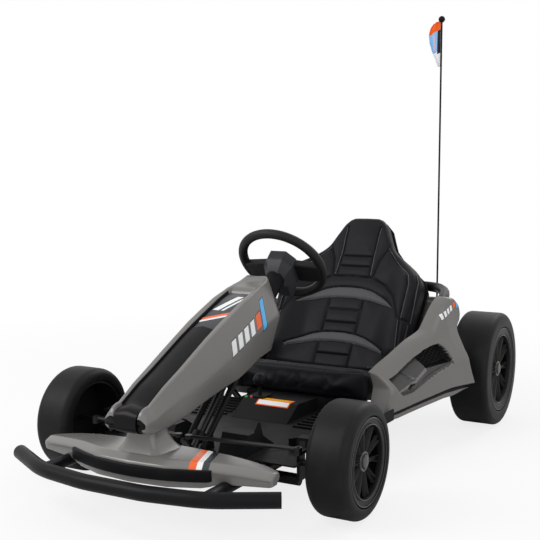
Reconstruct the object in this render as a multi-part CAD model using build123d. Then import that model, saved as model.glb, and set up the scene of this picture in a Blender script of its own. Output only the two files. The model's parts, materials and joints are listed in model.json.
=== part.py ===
from build123d import *
import os
from math import atan2, cos, hypot, radians, sin, tan

# Electric drift kart for a child, in millimetres. x points to the kart's left, y to its rear and z up.
# Pieces are drawn with y counted from the front axle. save moves each one so that the origin is on the
# ground in the middle of the kart.

# Clearances
fit = 0.3
pin_fit = 0.05

# Wheels and axles
wheelbase = 838.0
bumper_overhang = 336.0
front_tyre_radius = 116.5
front_tyre_width = 91.0
front_wheel_x = 332.5
front_bead_radius = 91.0
front_shoulder = 16.0
rear_tyre_radius = 150.0
rear_tyre_width = 104.0
rear_wheel_x = 353.0
rear_bead_radius = 113.5
rear_shoulder = 12.0
axle_radius = 6.0
rim_wall = 5.0
rim_lip_width = 17.0
rim_lip_depth = 7.0
rim_edge = 3.0
spoke_depth = 9.0
spoke_recess = 9.0
hub_radius = 19.0
cap_radius = 13.5
cap_height = 4.0
spoke_count = 5

# Front axle and steering
kingpin_x = 250.0
kingpin_radius = 5.0
sleeve_radius = 11.0
sleeve_height = 44.0
bracket_plate = 6.0
bracket_width = 26.0
axle_beam_radius = 12.0
steering_arm = 57.0
arm_width = 14.0
arm_thickness = 7.0
rod_radius = 4.0
eye_radius = 8.0
eye_height = 8.0
eye_pin_radius = 3.0
pitman_arm = 40.0
column_angle = 41.8
column_radius = 8.0
wheel_centre_y = 345.0
wheel_centre_z = 457.0
steering_width = 230.0
steering_height = 196.0
steering_grip_radius = 11.5
spoke_thickness = 13.0

# Frame
rail_radius = 12.5
cross_radius = 11.0
cross_lift = 1.2
rail_x = 165.0
rail_z = 82.0
front_cross_y = -30.0
strut_x = 22.0
strut_radius = 7.0
bumper_radius = 15.0
bumper_z = 100.0
bumper_bend = 200.0
prong_x = 185.0
prong_end_y = -300.0
side_bar_radius = 8.0
side_bar_z = 168.0

# Floor
pan_thickness = 4.0
pan_lip = 26.0
pan_lip_start_y = 60.0
console_top_z = 134.0
rest_top_z = 142.0
rib_front_y = 215.0
rib_pitch = 24.0
rib_width = 6.0
rib_height = 4.0

# Nose and wing
nose_wall = 4.0
channel_half_width = 31.0
channel_depth = 21.0
panel_thickness = 5.0
plate_front_y = 27.0
plate_back_y = 130.0
blade_height = 22.0
blade_thickness = 6.0

# Seat, with places counted forward from the rear axle
seat_half_width = 200.0
seat_front_reach = 430.0
seat_front_bottom_z = 122.0
seat_front_top_z = 202.0
cushion_slope = 15.5
cushion_gap = 20.0
back_foot_reach = 216.0
back_foot_z = 179.0
back_angle = 33.6
back_pad_thickness = 38.0
bolster_height = 30.0
shell_thickness = 8.0
seat_base_half_width = 140.0
shell_margin = 5.0

# Side pods, the rear stations counted forward from the rear axle
pod_front_y = 180.0
pod_middle_reach = 354.0
pod_apex_reach = 246.0
pod_end_reach = 166.0
pod_scoop_depth = 24.0
grille_thickness = 3.0
grille_pitch = 13.0
sill_drop = 34.0

# Rear
axle_housing_radius = 15.0
gearbox_width = 46.0
gearbox_height = 78.0
gearbox_length = 96.0
motor_radius = 24.0
battery_length = 95.0
battery_width = 230.0
battery_height = 90.0
cover_half_width = 288.0
cover_wall = 4.0
hoop_radius = 14.0
hoop_bend = 60.0
hoop_z = 374.0
hoop_overhang = 24.0
whip_x = 200.0
whip_radius = 2.5
whip_top_z = 1098.0
whip_ball_radius = 9.0
pennant_height = 124.0
pennant_width = 36.0
pennant_thickness = 3.0

# Values that follow from the sizes above
front_axle_z = front_tyre_radius
seat_front_y = wheelbase - seat_front_reach
back_foot_y = wheelbase - back_foot_reach
cushion_back_y = back_foot_y - cushion_gap
pod_middle_y = wheelbase - pod_middle_reach
pod_apex_y = wheelbase - pod_apex_reach
pod_end_y = wheelbase - pod_end_reach
rail_end_y = wheelbase - 38.0
console_back_y = seat_front_y - 18.0
pan_back_y = seat_front_y - 10.0
hoop_back_y = wheelbase + hoop_overhang
rear_axle_z = rear_tyre_radius
kart_length = bumper_overhang + wheelbase + rear_tyre_radius
frame_middle_y = kart_length / 2 - bumper_overhang
column_rise = sin(radians(column_angle))
column_run = cos(radians(column_angle))
sleeve_middle_z = front_axle_z + 3.5
arm_z = sleeve_middle_z + 11.5
rod_z = arm_z + arm_thickness / 2 + fit + eye_height / 2
pitman_z = rod_z - eye_height / 2 - 9.0
column_end_z = pitman_z - pitman_arm * column_run
column_end_y = wheel_centre_y - (wheel_centre_z - column_end_z) * column_run / column_rise
pitman_y = column_end_y - pitman_arm * column_rise
column_length = hypot(wheel_centre_y - column_end_y, wheel_centre_z - column_end_z)
steering_flat_y = steering_width / 2 + steering_grip_radius - steering_height
pan_z = rail_z + rail_radius + fit
bumper_y = bumper_radius - bumper_overhang
wing_bottom_z = bumper_z + rail_radius + fit
base_z = rail_z + rail_radius + fit


def save(name, shape):
    export_step(Pos(0, -frame_middle_y, 0) * shape, f"parts/{name}.step")


def bar(points, radius, bend):
    """A round bar along straight runs, with tangent bends."""
    path = FilletPolyline(*points, radius=bend)
    return sweep(Plane(origin=path @ 0, z_dir=path % 0) * Circle(radius), path=path)


def box(x, y, z):
    """A box from its low and high ends along each axis."""
    middle = Pos((x[0] + x[1]) / 2, (y[0] + y[1]) / 2, (z[0] + z[1]) / 2)
    return middle * Box(x[1] - x[0], y[1] - y[0], z[1] - z[0])


def rod(radius, start, end):
    """A cylinder from start to end."""
    direction = Vector(*end) - Vector(*start)
    plane = Plane(origin=start, z_dir=direction)
    return extrude(plane * Circle(radius), direction.length)


def side_profile(points, x_low, x_high):
    """A solid with an outline in the y-z plane, from x_low to x_high."""
    face = make_face(Polyline(*[(x_low, y, z) for y, z in points], close=True))
    return extrude(face, x_high - x_low, dir=(1, 0, 0))


def both_sides(shape):
    return shape, mirror(shape, about=Plane.YZ)


def in_column(along, up=0.0, x=0.0):
    """A plane square to the steering column, its z towards the driver and its y away from the ground."""
    y = column_end_y + along * column_run - up * column_rise
    z = column_end_z + along * column_rise + up * column_run
    return Plane(origin=(x, y, z), x_dir=(-1, 0, 0), z_dir=(0, column_run, column_rise))


# Wheels


def tyre(radius, bead, width, shoulder):
    section = Pos(0, (radius + bead) / 2) * Rectangle(width, radius - bead)
    tread_corners = section.vertices().group_by(Axis.Y)[-1]
    return revolve(fillet(tread_corners, shoulder), Axis.X)


def spoke_window(inner, outer, half_angle_in, half_angle_out, corner):
    """An opening between spokes, as a four-sided outline in the wheel's plane."""
    corners = [(inner, -half_angle_in), (outer, -half_angle_out), (outer, half_angle_out),
               (inner, half_angle_in)]
    points = [(r * cos(radians(a)), r * sin(radians(a))) for r, a in corners]
    return fillet(make_face(Polyline(*points, close=True)).vertices(), corner)


def rim(bead, width):
    """Barrel, outer lip, five pairs of spokes, hub and cap. The outer side faces +x."""
    outer = width / 2 - rim_edge
    inner = -width / 2 + rim_edge
    barrel_radius = bead - fit
    opening = barrel_radius - rim_lip_width
    along_x = Plane(origin=(inner, 0, 0), z_dir=(1, 0, 0))
    barrel = extrude(along_x * (Circle(barrel_radius) - Circle(barrel_radius - rim_wall)), outer - inner)
    lip_plane = Plane(origin=(outer - rim_lip_depth, 0, 0), z_dir=(1, 0, 0))
    lip = extrude(lip_plane * (Circle(barrel_radius) - Circle(opening)), rim_lip_depth)
    disc_x = outer - spoke_recess - spoke_depth
    disc_plane = Plane(origin=(disc_x, 0, 0), x_dir=(0, 1, 0), z_dir=(1, 0, 0))
    wide = spoke_window(hub_radius + 9, opening - 1, 9, 21, 2.5)
    narrow = spoke_window(hub_radius + 16, opening - 1, 4, 6, 1.2)
    step = 360 / spoke_count
    windows = [Rot(0, 0, step * i) * wide for i in range(spoke_count)]
    windows += [Rot(0, 0, step * (i + 0.5)) * narrow for i in range(spoke_count)]
    disc = disc_plane * Circle(barrel_radius - rim_wall / 2)
    spokes = extrude(disc, spoke_depth)
    for window in windows:
        spokes -= extrude(disc_plane * window, spoke_depth + 1)
    hub = extrude(along_x * Circle(hub_radius), outer - spoke_recess - inner + 2)
    cap_plane = Plane(origin=(outer - spoke_recess + 2, 0, 0), z_dir=(1, 0, 0))
    cap = extrude(cap_plane * Circle(cap_radius), cap_height)
    bore = extrude(along_x * Circle(axle_radius + pin_fit), outer - spoke_recess - inner - 4)
    return barrel + lip + spokes + hub + cap - bore


# Front axle


def front_axle():
    plate_low = sleeve_middle_z - sleeve_height / 2 - 2 * fit
    plate_high = sleeve_middle_z + sleeve_height / 2 + 2 * fit
    beam_z = rail_z - rail_radius - fit - axle_beam_radius
    web_x = kingpin_x - bracket_width
    half = bracket_width / 2
    web = box((web_x, web_x + bracket_plate), (-half, half), (beam_z, plate_high + bracket_plate))
    top = box((web_x, kingpin_x + half), (-half, half), (plate_high, plate_high + bracket_plate))
    low = box((web_x, kingpin_x + half), (-half, half), (plate_low - bracket_plate, plate_low))
    pin = rod(kingpin_radius, (kingpin_x, 0, plate_low - bracket_plate - 4), (kingpin_x, 0, plate_high + 10))
    left, right = both_sides(web + top + low + pin)
    beam = rod(axle_beam_radius, (-web_x - 1, 0, beam_z), (web_x + 1, 0, beam_z))
    return beam + left + right


def knuckle():
    low = sleeve_middle_z - sleeve_height / 2
    high = sleeve_middle_z + sleeve_height / 2
    sleeve = rod(sleeve_radius, (kingpin_x, 0, low), (kingpin_x, 0, high))
    hub_inner = front_wheel_x - front_tyre_width / 2 + rim_edge
    hub_outer = front_wheel_x + front_tyre_width / 2 - rim_edge - spoke_recess - 5
    collar = rod(axle_radius + 4, (kingpin_x, 0, front_axle_z), (hub_inner - 1, 0, front_axle_z))
    stub = rod(axle_radius, (kingpin_x, 0, front_axle_z), (hub_outer, 0, front_axle_z))
    arm = box((kingpin_x - arm_width / 2, kingpin_x + arm_width / 2), (-steering_arm, 0),
              (arm_z - arm_thickness / 2, arm_z + arm_thickness / 2))
    tip = rod(eye_radius, (kingpin_x, -steering_arm, arm_z - arm_thickness / 2),
              (kingpin_x, -steering_arm, arm_z + arm_thickness / 2))
    pin = rod(eye_pin_radius, (kingpin_x, -steering_arm, arm_z),
              (kingpin_x, -steering_arm, rod_z + eye_height / 2 + 2))
    bore = rod(kingpin_radius + pin_fit, (kingpin_x, 0, low - 1), (kingpin_x, 0, high + 1))
    return sleeve + collar + stub + arm + tip + pin - bore


def tie_rod():
    outer = (kingpin_x, -steering_arm, rod_z)
    inner = (12, pitman_y, rod_z)
    shank = rod(rod_radius, outer, inner)
    eye = rod(eye_radius, (outer[0], outer[1], rod_z - eye_height / 2),
              (outer[0], outer[1], rod_z + eye_height / 2))
    ball = rod(eye_radius - 1, (inner[0], inner[1], rod_z - eye_height / 2),
               (inner[0], inner[1], rod_z + eye_height / 2))
    bore = rod(eye_pin_radius + pin_fit, (outer[0], outer[1], rod_z - eye_height),
               (outer[0], outer[1], rod_z + eye_height))
    return shank + eye + ball - bore


# Steering


def steering_shaft():
    shaft = extrude(in_column(0) * Circle(column_radius), column_length - spoke_thickness / 2 - fit)
    boss = extrude(in_column(0) * Circle(column_radius + 4), 12)
    arm = extrude(in_column(0) * (Pos(0, pitman_arm / 2) * Rectangle(16, pitman_arm)), 6)
    tip = extrude(in_column(0, pitman_arm) * Circle(eye_radius), 6)
    return shaft + boss + arm + tip


def steering_rim_path():
    radius = steering_width / 2 - steering_grip_radius
    outline = Circle(radius) - Pos(0, steering_flat_y - radius) * Rectangle(4 * radius, 2 * radius)
    corners = outline.vertices()
    return fillet(corners, 34).wire()


def steering_wheel():
    plane = in_column(column_length)
    path = plane * steering_rim_path()
    section = Plane(origin=path @ 0, z_dir=path % 0) * Circle(steering_grip_radius)
    grip = sweep(section, path=path)
    reach = steering_width / 2 - steering_grip_radius
    half = [(20, -26), (20, 22), (reach, 14), (reach, -12)]
    mirrored = [(-x, y) for x, y in half]
    spoke_plane = plane.offset(-spoke_thickness / 2)
    spokes = extrude(spoke_plane * make_face(Polyline(*half, close=True)), spoke_thickness)
    spokes += extrude(spoke_plane * make_face(Polyline(*mirrored, close=True)), spoke_thickness)
    foot_y = steering_flat_y
    foot = [(-15, -20), (15, -20), (22, foot_y), (-22, foot_y)]
    spokes += extrude(spoke_plane * make_face(Polyline(*foot, close=True)), spoke_thickness)
    core = extrude(spoke_plane * Rectangle(56, 56), spoke_thickness)
    return grip + spokes + core


def steering_hub():
    """The six-sided pad in the middle of the steering wheel."""
    outline = [(-24, 40), (24, 40), (40, 12), (30, -44), (-30, -44), (-40, 12)]
    plane = in_column(column_length + spoke_thickness / 2 + fit)
    pad = extrude(plane * make_face(Polyline(*outline, close=True)), 26)
    front_edges = pad.faces().sort_by(Axis((0, 0, 0), (0, column_run, column_rise)))[-1].edges()
    return chamfer(front_edges, 9)


# Frame


def frame_rails():
    rails = []
    for side in (-1, 1):
        points = [(side * prong_x, prong_end_y, bumper_z), (side * prong_x, -150, bumper_z),
                  (side * rail_x, -50, rail_z), (side * rail_x, rail_end_y, rail_z)]
        rails.append(bar(points, rail_radius, 60))
        bar_x = side * (pod_sections[1][1] - side_bar_radius - fit)
        points = [(side * rail_x, pod_end_y - 17, rail_z), (bar_x, pod_apex_y + 18, side_bar_z),
                  (bar_x, pod_middle_y - 14, side_bar_z), (side * rail_x, pod_middle_y - 54, rail_z)]
        rails.append(bar(points, side_bar_radius, 30))
    frame = rails[0] + rails[1] + rails[2] + rails[3]
    for y in (front_cross_y, pod_front_y, seat_front_y + 12, back_foot_y + 18, wheelbase - 122, rail_end_y - 10):
        frame += rod(cross_radius, (-rail_x, y, rail_z + cross_lift), (rail_x, y, rail_z + cross_lift))
    for side in (-1, 1):
        x = side * strut_x
        plane_low = in_column(16)
        plane_high = in_column(250)
        low = (x, plane_low.origin.Y, plane_low.origin.Z)
        high = (x, plane_high.origin.Y, plane_high.origin.Z)
        frame += rod(strut_radius, low, high)
        gusset = [(front_cross_y - 10, rail_z), (low[1] + 2, low[2] - 2), (low[1] + 34, low[2] + 28),
                  (front_cross_y + 26, rail_z)]
        frame += side_profile(gusset, x - 3, x + 3)
        hanger = [(wheelbase - 62, rail_z), (wheelbase - 24, rear_axle_z + 22), (wheelbase + 24, rear_axle_z + 22),
                  (wheelbase + 24, rear_axle_z - 24), (wheelbase - 20, rail_z - 8)]
        frame += side_profile(hanger, side * rail_x - 4, side * rail_x + 4)
    for along in (34, 236):
        plane = in_column(along)
        ring = extrude(plane * Circle(column_radius + 8), 14)
        cross = extrude(plane * Rectangle(2 * strut_x, 10), 14)
        frame += ring + cross
        frame -= extrude(plane.offset(-2) * Circle(column_radius + pin_fit), 18)
    hole_end = rail_x + 10
    axle_hole = rod(axle_housing_radius + fit, (-hole_end, wheelbase, rear_axle_z), (hole_end, wheelbase, rear_axle_z))
    return frame - axle_hole - bumper_tube(bumper_radius + fit)


# x and y of the bumper's bends
bumper_line = [(307, -233), (190, -300), (70, bumper_y)]


def bumper_tube(radius):
    points = [(-x, y, bumper_z) for x, y in bumper_line]
    points += [(x, y, bumper_z) for x, y in reversed(bumper_line)]
    return bar(points, radius, bumper_bend)


# Floor


def pan_outline(inset):
    """The pan seen from above. An inset draws the sides in and leaves both ends open."""
    half = [(130, -46), (140, 20), (196, 92), (205, 150), (262, 196), (270, pan_back_y)]
    half = [(x - inset, y) for x, y in half]
    half[0] = (half[0][0], half[0][1] - inset)
    half[-1] = (half[-1][0], half[-1][1] + inset)
    return [(-x, y) for x, y in half] + [(x, y) for x, y in reversed(half)]


def floor_pan():
    top = pan_z + pan_thickness
    sheet = make_face(Polyline(*[(x, y, pan_z) for x, y in pan_outline(0)], close=True))
    inside = make_face(Polyline(*[(x, y, top) for x, y in pan_outline(pan_thickness)], close=True))
    low_front = box((-300, 300), (-60, pan_lip_start_y), (top, top + 60))
    pan = extrude(sheet, pan_lip, dir=(0, 0, 1)) - extrude(inside, pan_lip, dir=(0, 0, 1)) - low_front
    pan -= box((-46, 46), (-60, 40), (pan_z - 1, pan_z + pan_lip + 1))
    rib_count = int((pan_back_y - 2 * rib_width - rib_front_y) / rib_pitch) + 1
    for i in range(rib_count):
        y = rib_front_y + i * rib_pitch
        for x_low, x_high in ((-250, -96), (96, 250)):
            pan += box((x_low, x_high), (y, y + rib_width), (top - 1, top + rib_height))
    return pan


def console():
    base = pan_z + pan_thickness + fit
    back = console_back_y
    outline = [(back - 104, console_top_z), (back, console_top_z - 6), (back, base), (back - 164, base)]
    hump = side_profile(outline, -74, 74)
    cross_edges = hump.edges().filter_by(Axis.X).group_by(Axis.Z)
    return fillet(cross_edges[-1] + cross_edges[-2], 8)


def shift_lever():
    x = -46
    y = console_back_y - 74
    z = console_top_z - 0.2
    plate = box((x - 22, x + 22), (y - 24, y + 24), (z, z + 3))
    stalk = rod(5, (x, y, z), (x, y, z + 40))
    knob = Pos(x, y, z + 40) * Sphere(17)
    return Pos(0, 0, fit) * (plate + stalk + knob)


def foot_rest():
    base = pan_z + pan_thickness + fit
    wedge = side_profile([(-46, base), (-28, rest_top_z), (8, rest_top_z), (80, base)], 58, 121)
    fin = side_profile([(0, rest_top_z - 1), (20, rest_top_z + 16), (38, 116), (0, 116)], 117, 121)
    return wedge + fin


def accelerator_pedal():
    slope = atan2(rest_top_z - pan_z - pan_thickness - fit, 72)
    plane = Plane(origin=(-89.5, 8, rest_top_z), x_dir=(1, 0, 0), z_dir=(0, sin(slope), cos(slope)))
    plate = extrude(plane.offset(fit) * (Pos(0, 38) * RectangleRounded(48, 60, 8)), 6)
    return plate


# Nose and wing

# y, half width and height of the ridge, half width and height of the waist, half width and height of the foot
nose_sections = [
    (-280, 26, 222, 38, 208, 30, 197),
    (-250, 34, 243, 47, 218, 42, 197),
    (-150, 42, 292, 53, 244, 48, 202),
    (0, 45, 362, 58, 290, 50, 226),
    (100, 44, 402, 60, 322, 52, 246),
    (175, 38, 425, 58, 352, 50, 266),
    (228, 31, 440, 50, 372, 42, 290),
]


def nose_loft(inset, drop):
    """The nose's outer form, or the same form drawn in by inset, with its underside lowered by drop."""
    sections = []
    last = len(nose_sections) - 1
    for i, (y, ridge_w, ridge_z, waist_w, waist_z, foot_w, foot_z) in enumerate(nose_sections):
        y_in = y + inset if i == 0 else y - inset if i == last else y
        half = [(ridge_w - inset, ridge_z - inset), (waist_w - inset, waist_z), (foot_w - inset, foot_z - drop)]
        ring = [(x, y_in, z) for x, z in half] + [(-x, y_in, z) for x, z in reversed(half)]
        sections.append(make_face(Polyline(*ring, close=True)))
    return loft(sections, ruled=True)


def ridge_height(y):
    for low, high in zip(nose_sections, nose_sections[1:]):
        if low[0] <= y <= high[0]:
            share = (y - low[0]) / (high[0] - low[0])
            return low[2] + share * (high[2] - low[2])


def channel_solid(y_low, y_high, bottom, top, half_low, half_high):
    """A solid along the channel between the ridges, from bottom to top below the ridge line."""
    sections = []
    for y in (y_low, y_high):
        ridge = ridge_height(min(max(y, nose_sections[0][0]), nose_sections[-1][0]))
        ring = [(half_high, y, ridge - top), (half_low, y, ridge - bottom)]
        ring += [(-half_low, y, ridge - bottom), (-half_high, y, ridge - top)]
        sections.append(make_face(Polyline(*ring, close=True)))
    return loft(sections, ruled=True)


def nose_shell():
    shell = nose_loft(0, 0)
    inner = nose_loft(nose_wall, 12)
    cut = [channel_solid(a, b, channel_depth, -9, channel_half_width - 6, channel_half_width)
           for a, b in ((-280, -250), (-250, -150), (-150, 0), (0, 100), (100, 140))]
    tray = [channel_solid(a, b, channel_depth + nose_wall, -9, channel_half_width - 3, channel_half_width + 3)
            for a, b in ((-280, -250), (-250, -150), (-150, 0), (0, 100), (100, 144))]
    for piece in tray:
        inner -= piece
    shell -= inner
    for piece in cut:
        shell -= piece
    hole = extrude(in_column(120) * Circle(column_radius + 6), 300)
    strut_room = extrude(in_column(40) * Rectangle(2 * strut_x + 2 * strut_radius + 6, 2 * strut_radius + 6), 230)
    return shell - hole - strut_room


def nose_panel():
    spans = ((-272, -250), (-250, -150), (-150, 0), (0, plate_front_y - fit))
    panel = None
    for a, b in spans:
        piece = channel_solid(a, b, channel_depth - fit, channel_depth - panel_thickness,
                              channel_half_width - 7, channel_half_width - 6)
        panel = piece if panel is None else panel + piece
    return panel


def number_plate():
    first = channel_solid(plate_front_y, 100, channel_depth - fit, channel_depth - 2 * panel_thickness,
                          channel_half_width - 7, channel_half_width - 5)
    second = channel_solid(100, plate_back_y, channel_depth - fit, channel_depth - 2 * panel_thickness,
                           channel_half_width - 7, channel_half_width - 5)
    return first + second


# x, front y, back y and top z of the wing
wing_sections = [
    (0, -286, -150, 147),
    (157, -275, -150, 143),
    (208, -252, -160, 136),
    (264, -206, -176, 129),
]


def front_wing():
    rows = [(-x, *rest) for x, *rest in reversed(wing_sections[1:])] + wing_sections
    faces = []
    edge = 6
    low = wing_bottom_z
    for x, front, back, high in rows:
        ring = [(x, front + edge, low), (x, back - edge, low), (x, back, low + edge), (x, back, high - edge),
                (x, back - edge, high), (x, front + edge, high), (x, front, high - edge), (x, front, low + edge)]
        faces.append(make_face(Polyline(*ring, close=True)))
    wing = loft(faces, ruled=True)
    neck_faces = []
    neck_top = nose_sections[1][6] - fit
    for z, half, front, back in ((140, 62, -272, -176), (152, 50, -266, -196), (neck_top, 42, -262, -206)):
        neck_faces.append(Pos(0, (front + back) / 2, z) * RectangleRounded(2 * half, back - front, 16))
    return wing + loft(neck_faces, ruled=True)


def wing_blade():
    front = wing_sections[0][1] - fit
    side = wing_sections[1][1] - fit
    half_length = wing_sections[1][0]
    points = [(-half_length, side), (0, front), (half_length, side),
              (half_length, side - blade_thickness), (0, front - blade_thickness),
              (-half_length, side - blade_thickness)]
    z = wing_bottom_z
    return extrude(make_face(Polyline(*[(x, y, z) for x, y in points], close=True)), blade_height, dir=(0, 0, 1))


# Seat

back_rise = cos(radians(back_angle))
back_run = sin(radians(back_angle))

# half width and distance up the backrest
back_outline = [(40, 437), (66, 416), (80, 384), (94, 354), (122, 322), (160, 290), (194, 262), (210, 228),
                (206, 150), (198, 40), (198, -30)]


def back_plane(out=0.0):
    """The backrest's front surface, moved out towards the driver."""
    origin = (0, back_foot_y - out * back_rise, back_foot_z + out * back_run)
    return Plane(origin=origin, x_dir=(1, 0, 0), z_dir=(0, -back_rise, back_run))


def back_face(margin):
    half = [(x + margin, up) for x, up in back_outline]
    half[0] = (half[0][0], back_outline[0][1] + margin)
    ring = half + [(-x, up) for x, up in reversed(half)]
    return fillet(make_face(Polyline(*ring, close=True)).vertices(), 12)


def seat_back():
    outline = extrude(back_plane(-back_pad_thickness) * back_face(0), back_pad_thickness + bolster_height)
    half = [(104, 0), (150, bolster_height * 0.8), (180, bolster_height), (230, bolster_height * 0.5),
            (230, -back_pad_thickness - 1)]
    ring = half + [(-x, out) for x, out in reversed(half)]
    low = -40
    origin = back_plane().from_local_coords((0, low, 0))
    section_plane = Plane(origin=origin, x_dir=(1, 0, 0), z_dir=back_plane().y_dir)
    section = section_plane * make_face(Polyline(*[(x, -out) for x, out in ring], close=True))
    prism = extrude(section, 500)
    return outline & prism


def seat_cushion():
    drop = (cushion_back_y - seat_front_y - 24) * tan(radians(cushion_slope))
    profile = [(seat_front_y, seat_front_bottom_z), (seat_front_y, seat_front_top_z - 10),
               (seat_front_y + 8, seat_front_top_z), (seat_front_y + 24, seat_front_top_z + 1),
               (cushion_back_y, seat_front_top_z - drop), (cushion_back_y, seat_front_bottom_z)]
    cushion = side_profile(profile, -seat_half_width, seat_half_width)
    corners = cushion.edges().filter_by(Axis.Z).group_by(Axis.Y)[0]
    return fillet(corners, 14)


def seat_shell():
    shell_plane = back_plane(-back_pad_thickness - fit - shell_thickness)
    back = extrude(shell_plane * back_face(shell_margin), shell_thickness)
    base_top = seat_front_bottom_z - fit
    heel = back_plane(-back_pad_thickness - fit - shell_thickness / 2).from_local_coords((0, -22, 0))
    base = side_profile([(seat_front_y + 6, base_z), (seat_front_y + 6, base_top), (heel.Y - 14, base_top),
                         (heel.Y - 2, heel.Z + 1), (heel.Y + 6, heel.Z), (heel.Y + 26, base_z)],
                        -seat_base_half_width, seat_base_half_width)
    return base + back


# Side pods

# y, inner x, foot x and z, waist x and z, shoulder x and z
pod_sections = [
    (pod_front_y, 298, 340, 160, 341, 210, 311, 259),
    (pod_middle_y, 294, 356, 152, 354, 214, 316, 302),
    (pod_apex_y, 294, 370, 147, 368, 214, 322, 356),
    (pod_end_y, 296, 384, 139, 380, 216, 334, 344),
]


def pod():
    faces = []
    for y, inner_x, foot_x, foot_z, waist_x, waist_z, top_x, top_z in pod_sections:
        ring = [(inner_x, y, foot_z), (foot_x, y, foot_z), (waist_x, y, waist_z), (top_x, y, top_z),
                (inner_x, y, top_z)]
        faces.append(make_face(Polyline(*ring, close=True)))
    body = loft(faces, ruled=True)
    return body - scoop_solid()


# y and z of the scoop's corners
scoop_outline = [(pod_front_y + 32, 235), (pod_front_y + 66, 235), (pod_middle_y - 60, 261),
                 (pod_middle_y + 24, 267), (pod_middle_y + 48, 256), (pod_middle_y + 82, 210),
                 (pod_front_y + 141, 184), (pod_front_y + 85, 188), (pod_front_y + 53, 206)]


def pod_face_x(y, z):
    """The pod's outer face at a height between its foot and its shoulder."""
    for low, high in zip(pod_sections, pod_sections[1:]):
        if low[0] <= y <= high[0]:
            share = (y - low[0]) / (high[0] - low[0])
            edges = [a + share * (b - a) for a, b in zip(low[2:], high[2:])]
            foot_x, foot_z, waist_x, waist_z, top_x, top_z = edges
            if z < waist_z:
                return foot_x + (waist_x - foot_x) * (z - foot_z) / (waist_z - foot_z)
            return waist_x + (top_x - waist_x) * (z - waist_z) / (top_z - waist_z)


def scoop_floor_x():
    return pod_face_x((pod_front_y + pod_middle_y) / 2 + 68, 220) - pod_scoop_depth


def scoop_solid():
    floor_x = scoop_floor_x()
    face = make_face(Polyline(*[(floor_x, y, z) for y, z in scoop_outline], close=True))
    return extrude(face, 60, dir=(1, 0, 0))


def pod_grille():
    x = scoop_floor_x() + fit
    outline = [(pod_middle_y - 44, 258), (pod_middle_y + 21, 263), (pod_middle_y + 61, 216), (pod_middle_y - 64, 205)]
    area = make_face(Polyline(*[(x, y, z) for y, z in outline], close=True))
    plate = extrude(area, grille_thickness, dir=(1, 0, 0))
    solid_plate = plate
    for i in range(8):
        for j in range(5):
            y = pod_middle_y - 52 + i * grille_pitch + (j % 2) * grille_pitch / 2
            z = 213 + j * grille_pitch * 0.8
            corners = ((x + 1, y - 5, z - 4), (x + 1, y + 5, z + 4))
            if all(solid_plate.is_inside(corner) for corner in corners):
                plate -= Pos(x, y, z) * Rot(0, 90, 0) * Cylinder(4, 20)
    return plate


def sill():
    rows = ((pod_front_y + 10, 304, 330, 0), (pod_middle_y, 304, 344, 0), (pod_apex_y + 8, 304, 352, 4),
            (pod_end_y - 10, 304, 366, 14))
    faces = []
    for y, inner_x, outer_x, lift in rows:
        top = foot_height(y) - fit
        low = top - sill_drop + lift
        ring = [(inner_x, y, low), (outer_x - 10, y, low), (outer_x, y, top), (inner_x, y, top)]
        faces.append(make_face(Polyline(*ring, close=True)))
    return loft(faces, ruled=True)


def foot_height(y):
    for low, high in zip(pod_sections, pod_sections[1:]):
        if low[0] <= y <= high[0]:
            return low[3] + (high[3] - low[3]) * (y - low[0]) / (high[0] - low[0])


# Rear


def rear_axle_beam():
    inner = rear_wheel_x - rear_tyre_width / 2
    gearbox_outer = inner - 8
    housing_end = gearbox_outer - 2
    housing = rod(axle_housing_radius, (-housing_end, wheelbase, rear_axle_z), (housing_end, wheelbase, rear_axle_z))
    stub_end = rear_wheel_x + rear_tyre_width / 2 - rim_edge - spoke_recess - 5
    stubs = rod(axle_radius, (-stub_end, wheelbase, rear_axle_z), (stub_end, wheelbase, rear_axle_z))
    return housing + stubs


def gearboxes():
    inner = rear_wheel_x - rear_tyre_width / 2
    x_high = inner - 8
    x_low = x_high - gearbox_width
    case = box((x_low, x_high), (wheelbase - gearbox_length + 34, wheelbase + 34),
               (rear_axle_z - gearbox_height / 2, rear_axle_z + gearbox_height / 2))
    case = fillet(case.edges().filter_by(Axis.X), 14)
    motor_y = wheelbase - 34
    motor_z = rear_axle_z + 6
    motor = rod(motor_radius, (x_low - 62, motor_y, motor_z), (x_low + 2, motor_y, motor_z))
    hole_radius = axle_housing_radius + fit
    hole = rod(hole_radius, (x_low - 70, wheelbase, rear_axle_z), (x_high + 1, wheelbase, rear_axle_z))
    left, right = both_sides(case + motor - hole)
    return Compound(children=[left, right])


def battery_block():
    back = wheelbase - axle_housing_radius - 26
    return box((-battery_width / 2, battery_width / 2), (back - battery_length, back),
               (base_z, base_z + battery_height))


cover_foot_z = rear_axle_z + gearbox_height / 2 + fit
whip_y = wheelbase + 55
whip_foot_radius = 13.0
shelf_z = 311.0
cover_profile = [(wheelbase - 116, cover_foot_z), (wheelbase - 84, 244), (wheelbase - 32, 322), (wheelbase - 10, 334),
                 (wheelbase + 24, 330), (whip_y - whip_foot_radius - 4, shelf_z),
                 (whip_y + whip_foot_radius + 8, shelf_z), (wheelbase + 102, 262), (wheelbase + 114, cover_foot_z)]


def rear_cover():
    outer = side_profile(cover_profile, -cover_half_width, cover_half_width)
    middle_y = sum(y for y, z in cover_profile) / len(cover_profile)
    wall = cover_wall * 1.6
    inner_points = [(y + wall if y < middle_y else y - wall, z - wall) for y, z in cover_profile]
    inner_points[-1] = (cover_profile[-1][0] - cover_wall, cover_foot_z - 1)
    inner_points[0] = (cover_profile[0][0] + cover_wall, cover_foot_z - 1)
    inner = side_profile(inner_points, -cover_half_width + cover_wall, cover_half_width - cover_wall)
    return outer - inner


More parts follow.
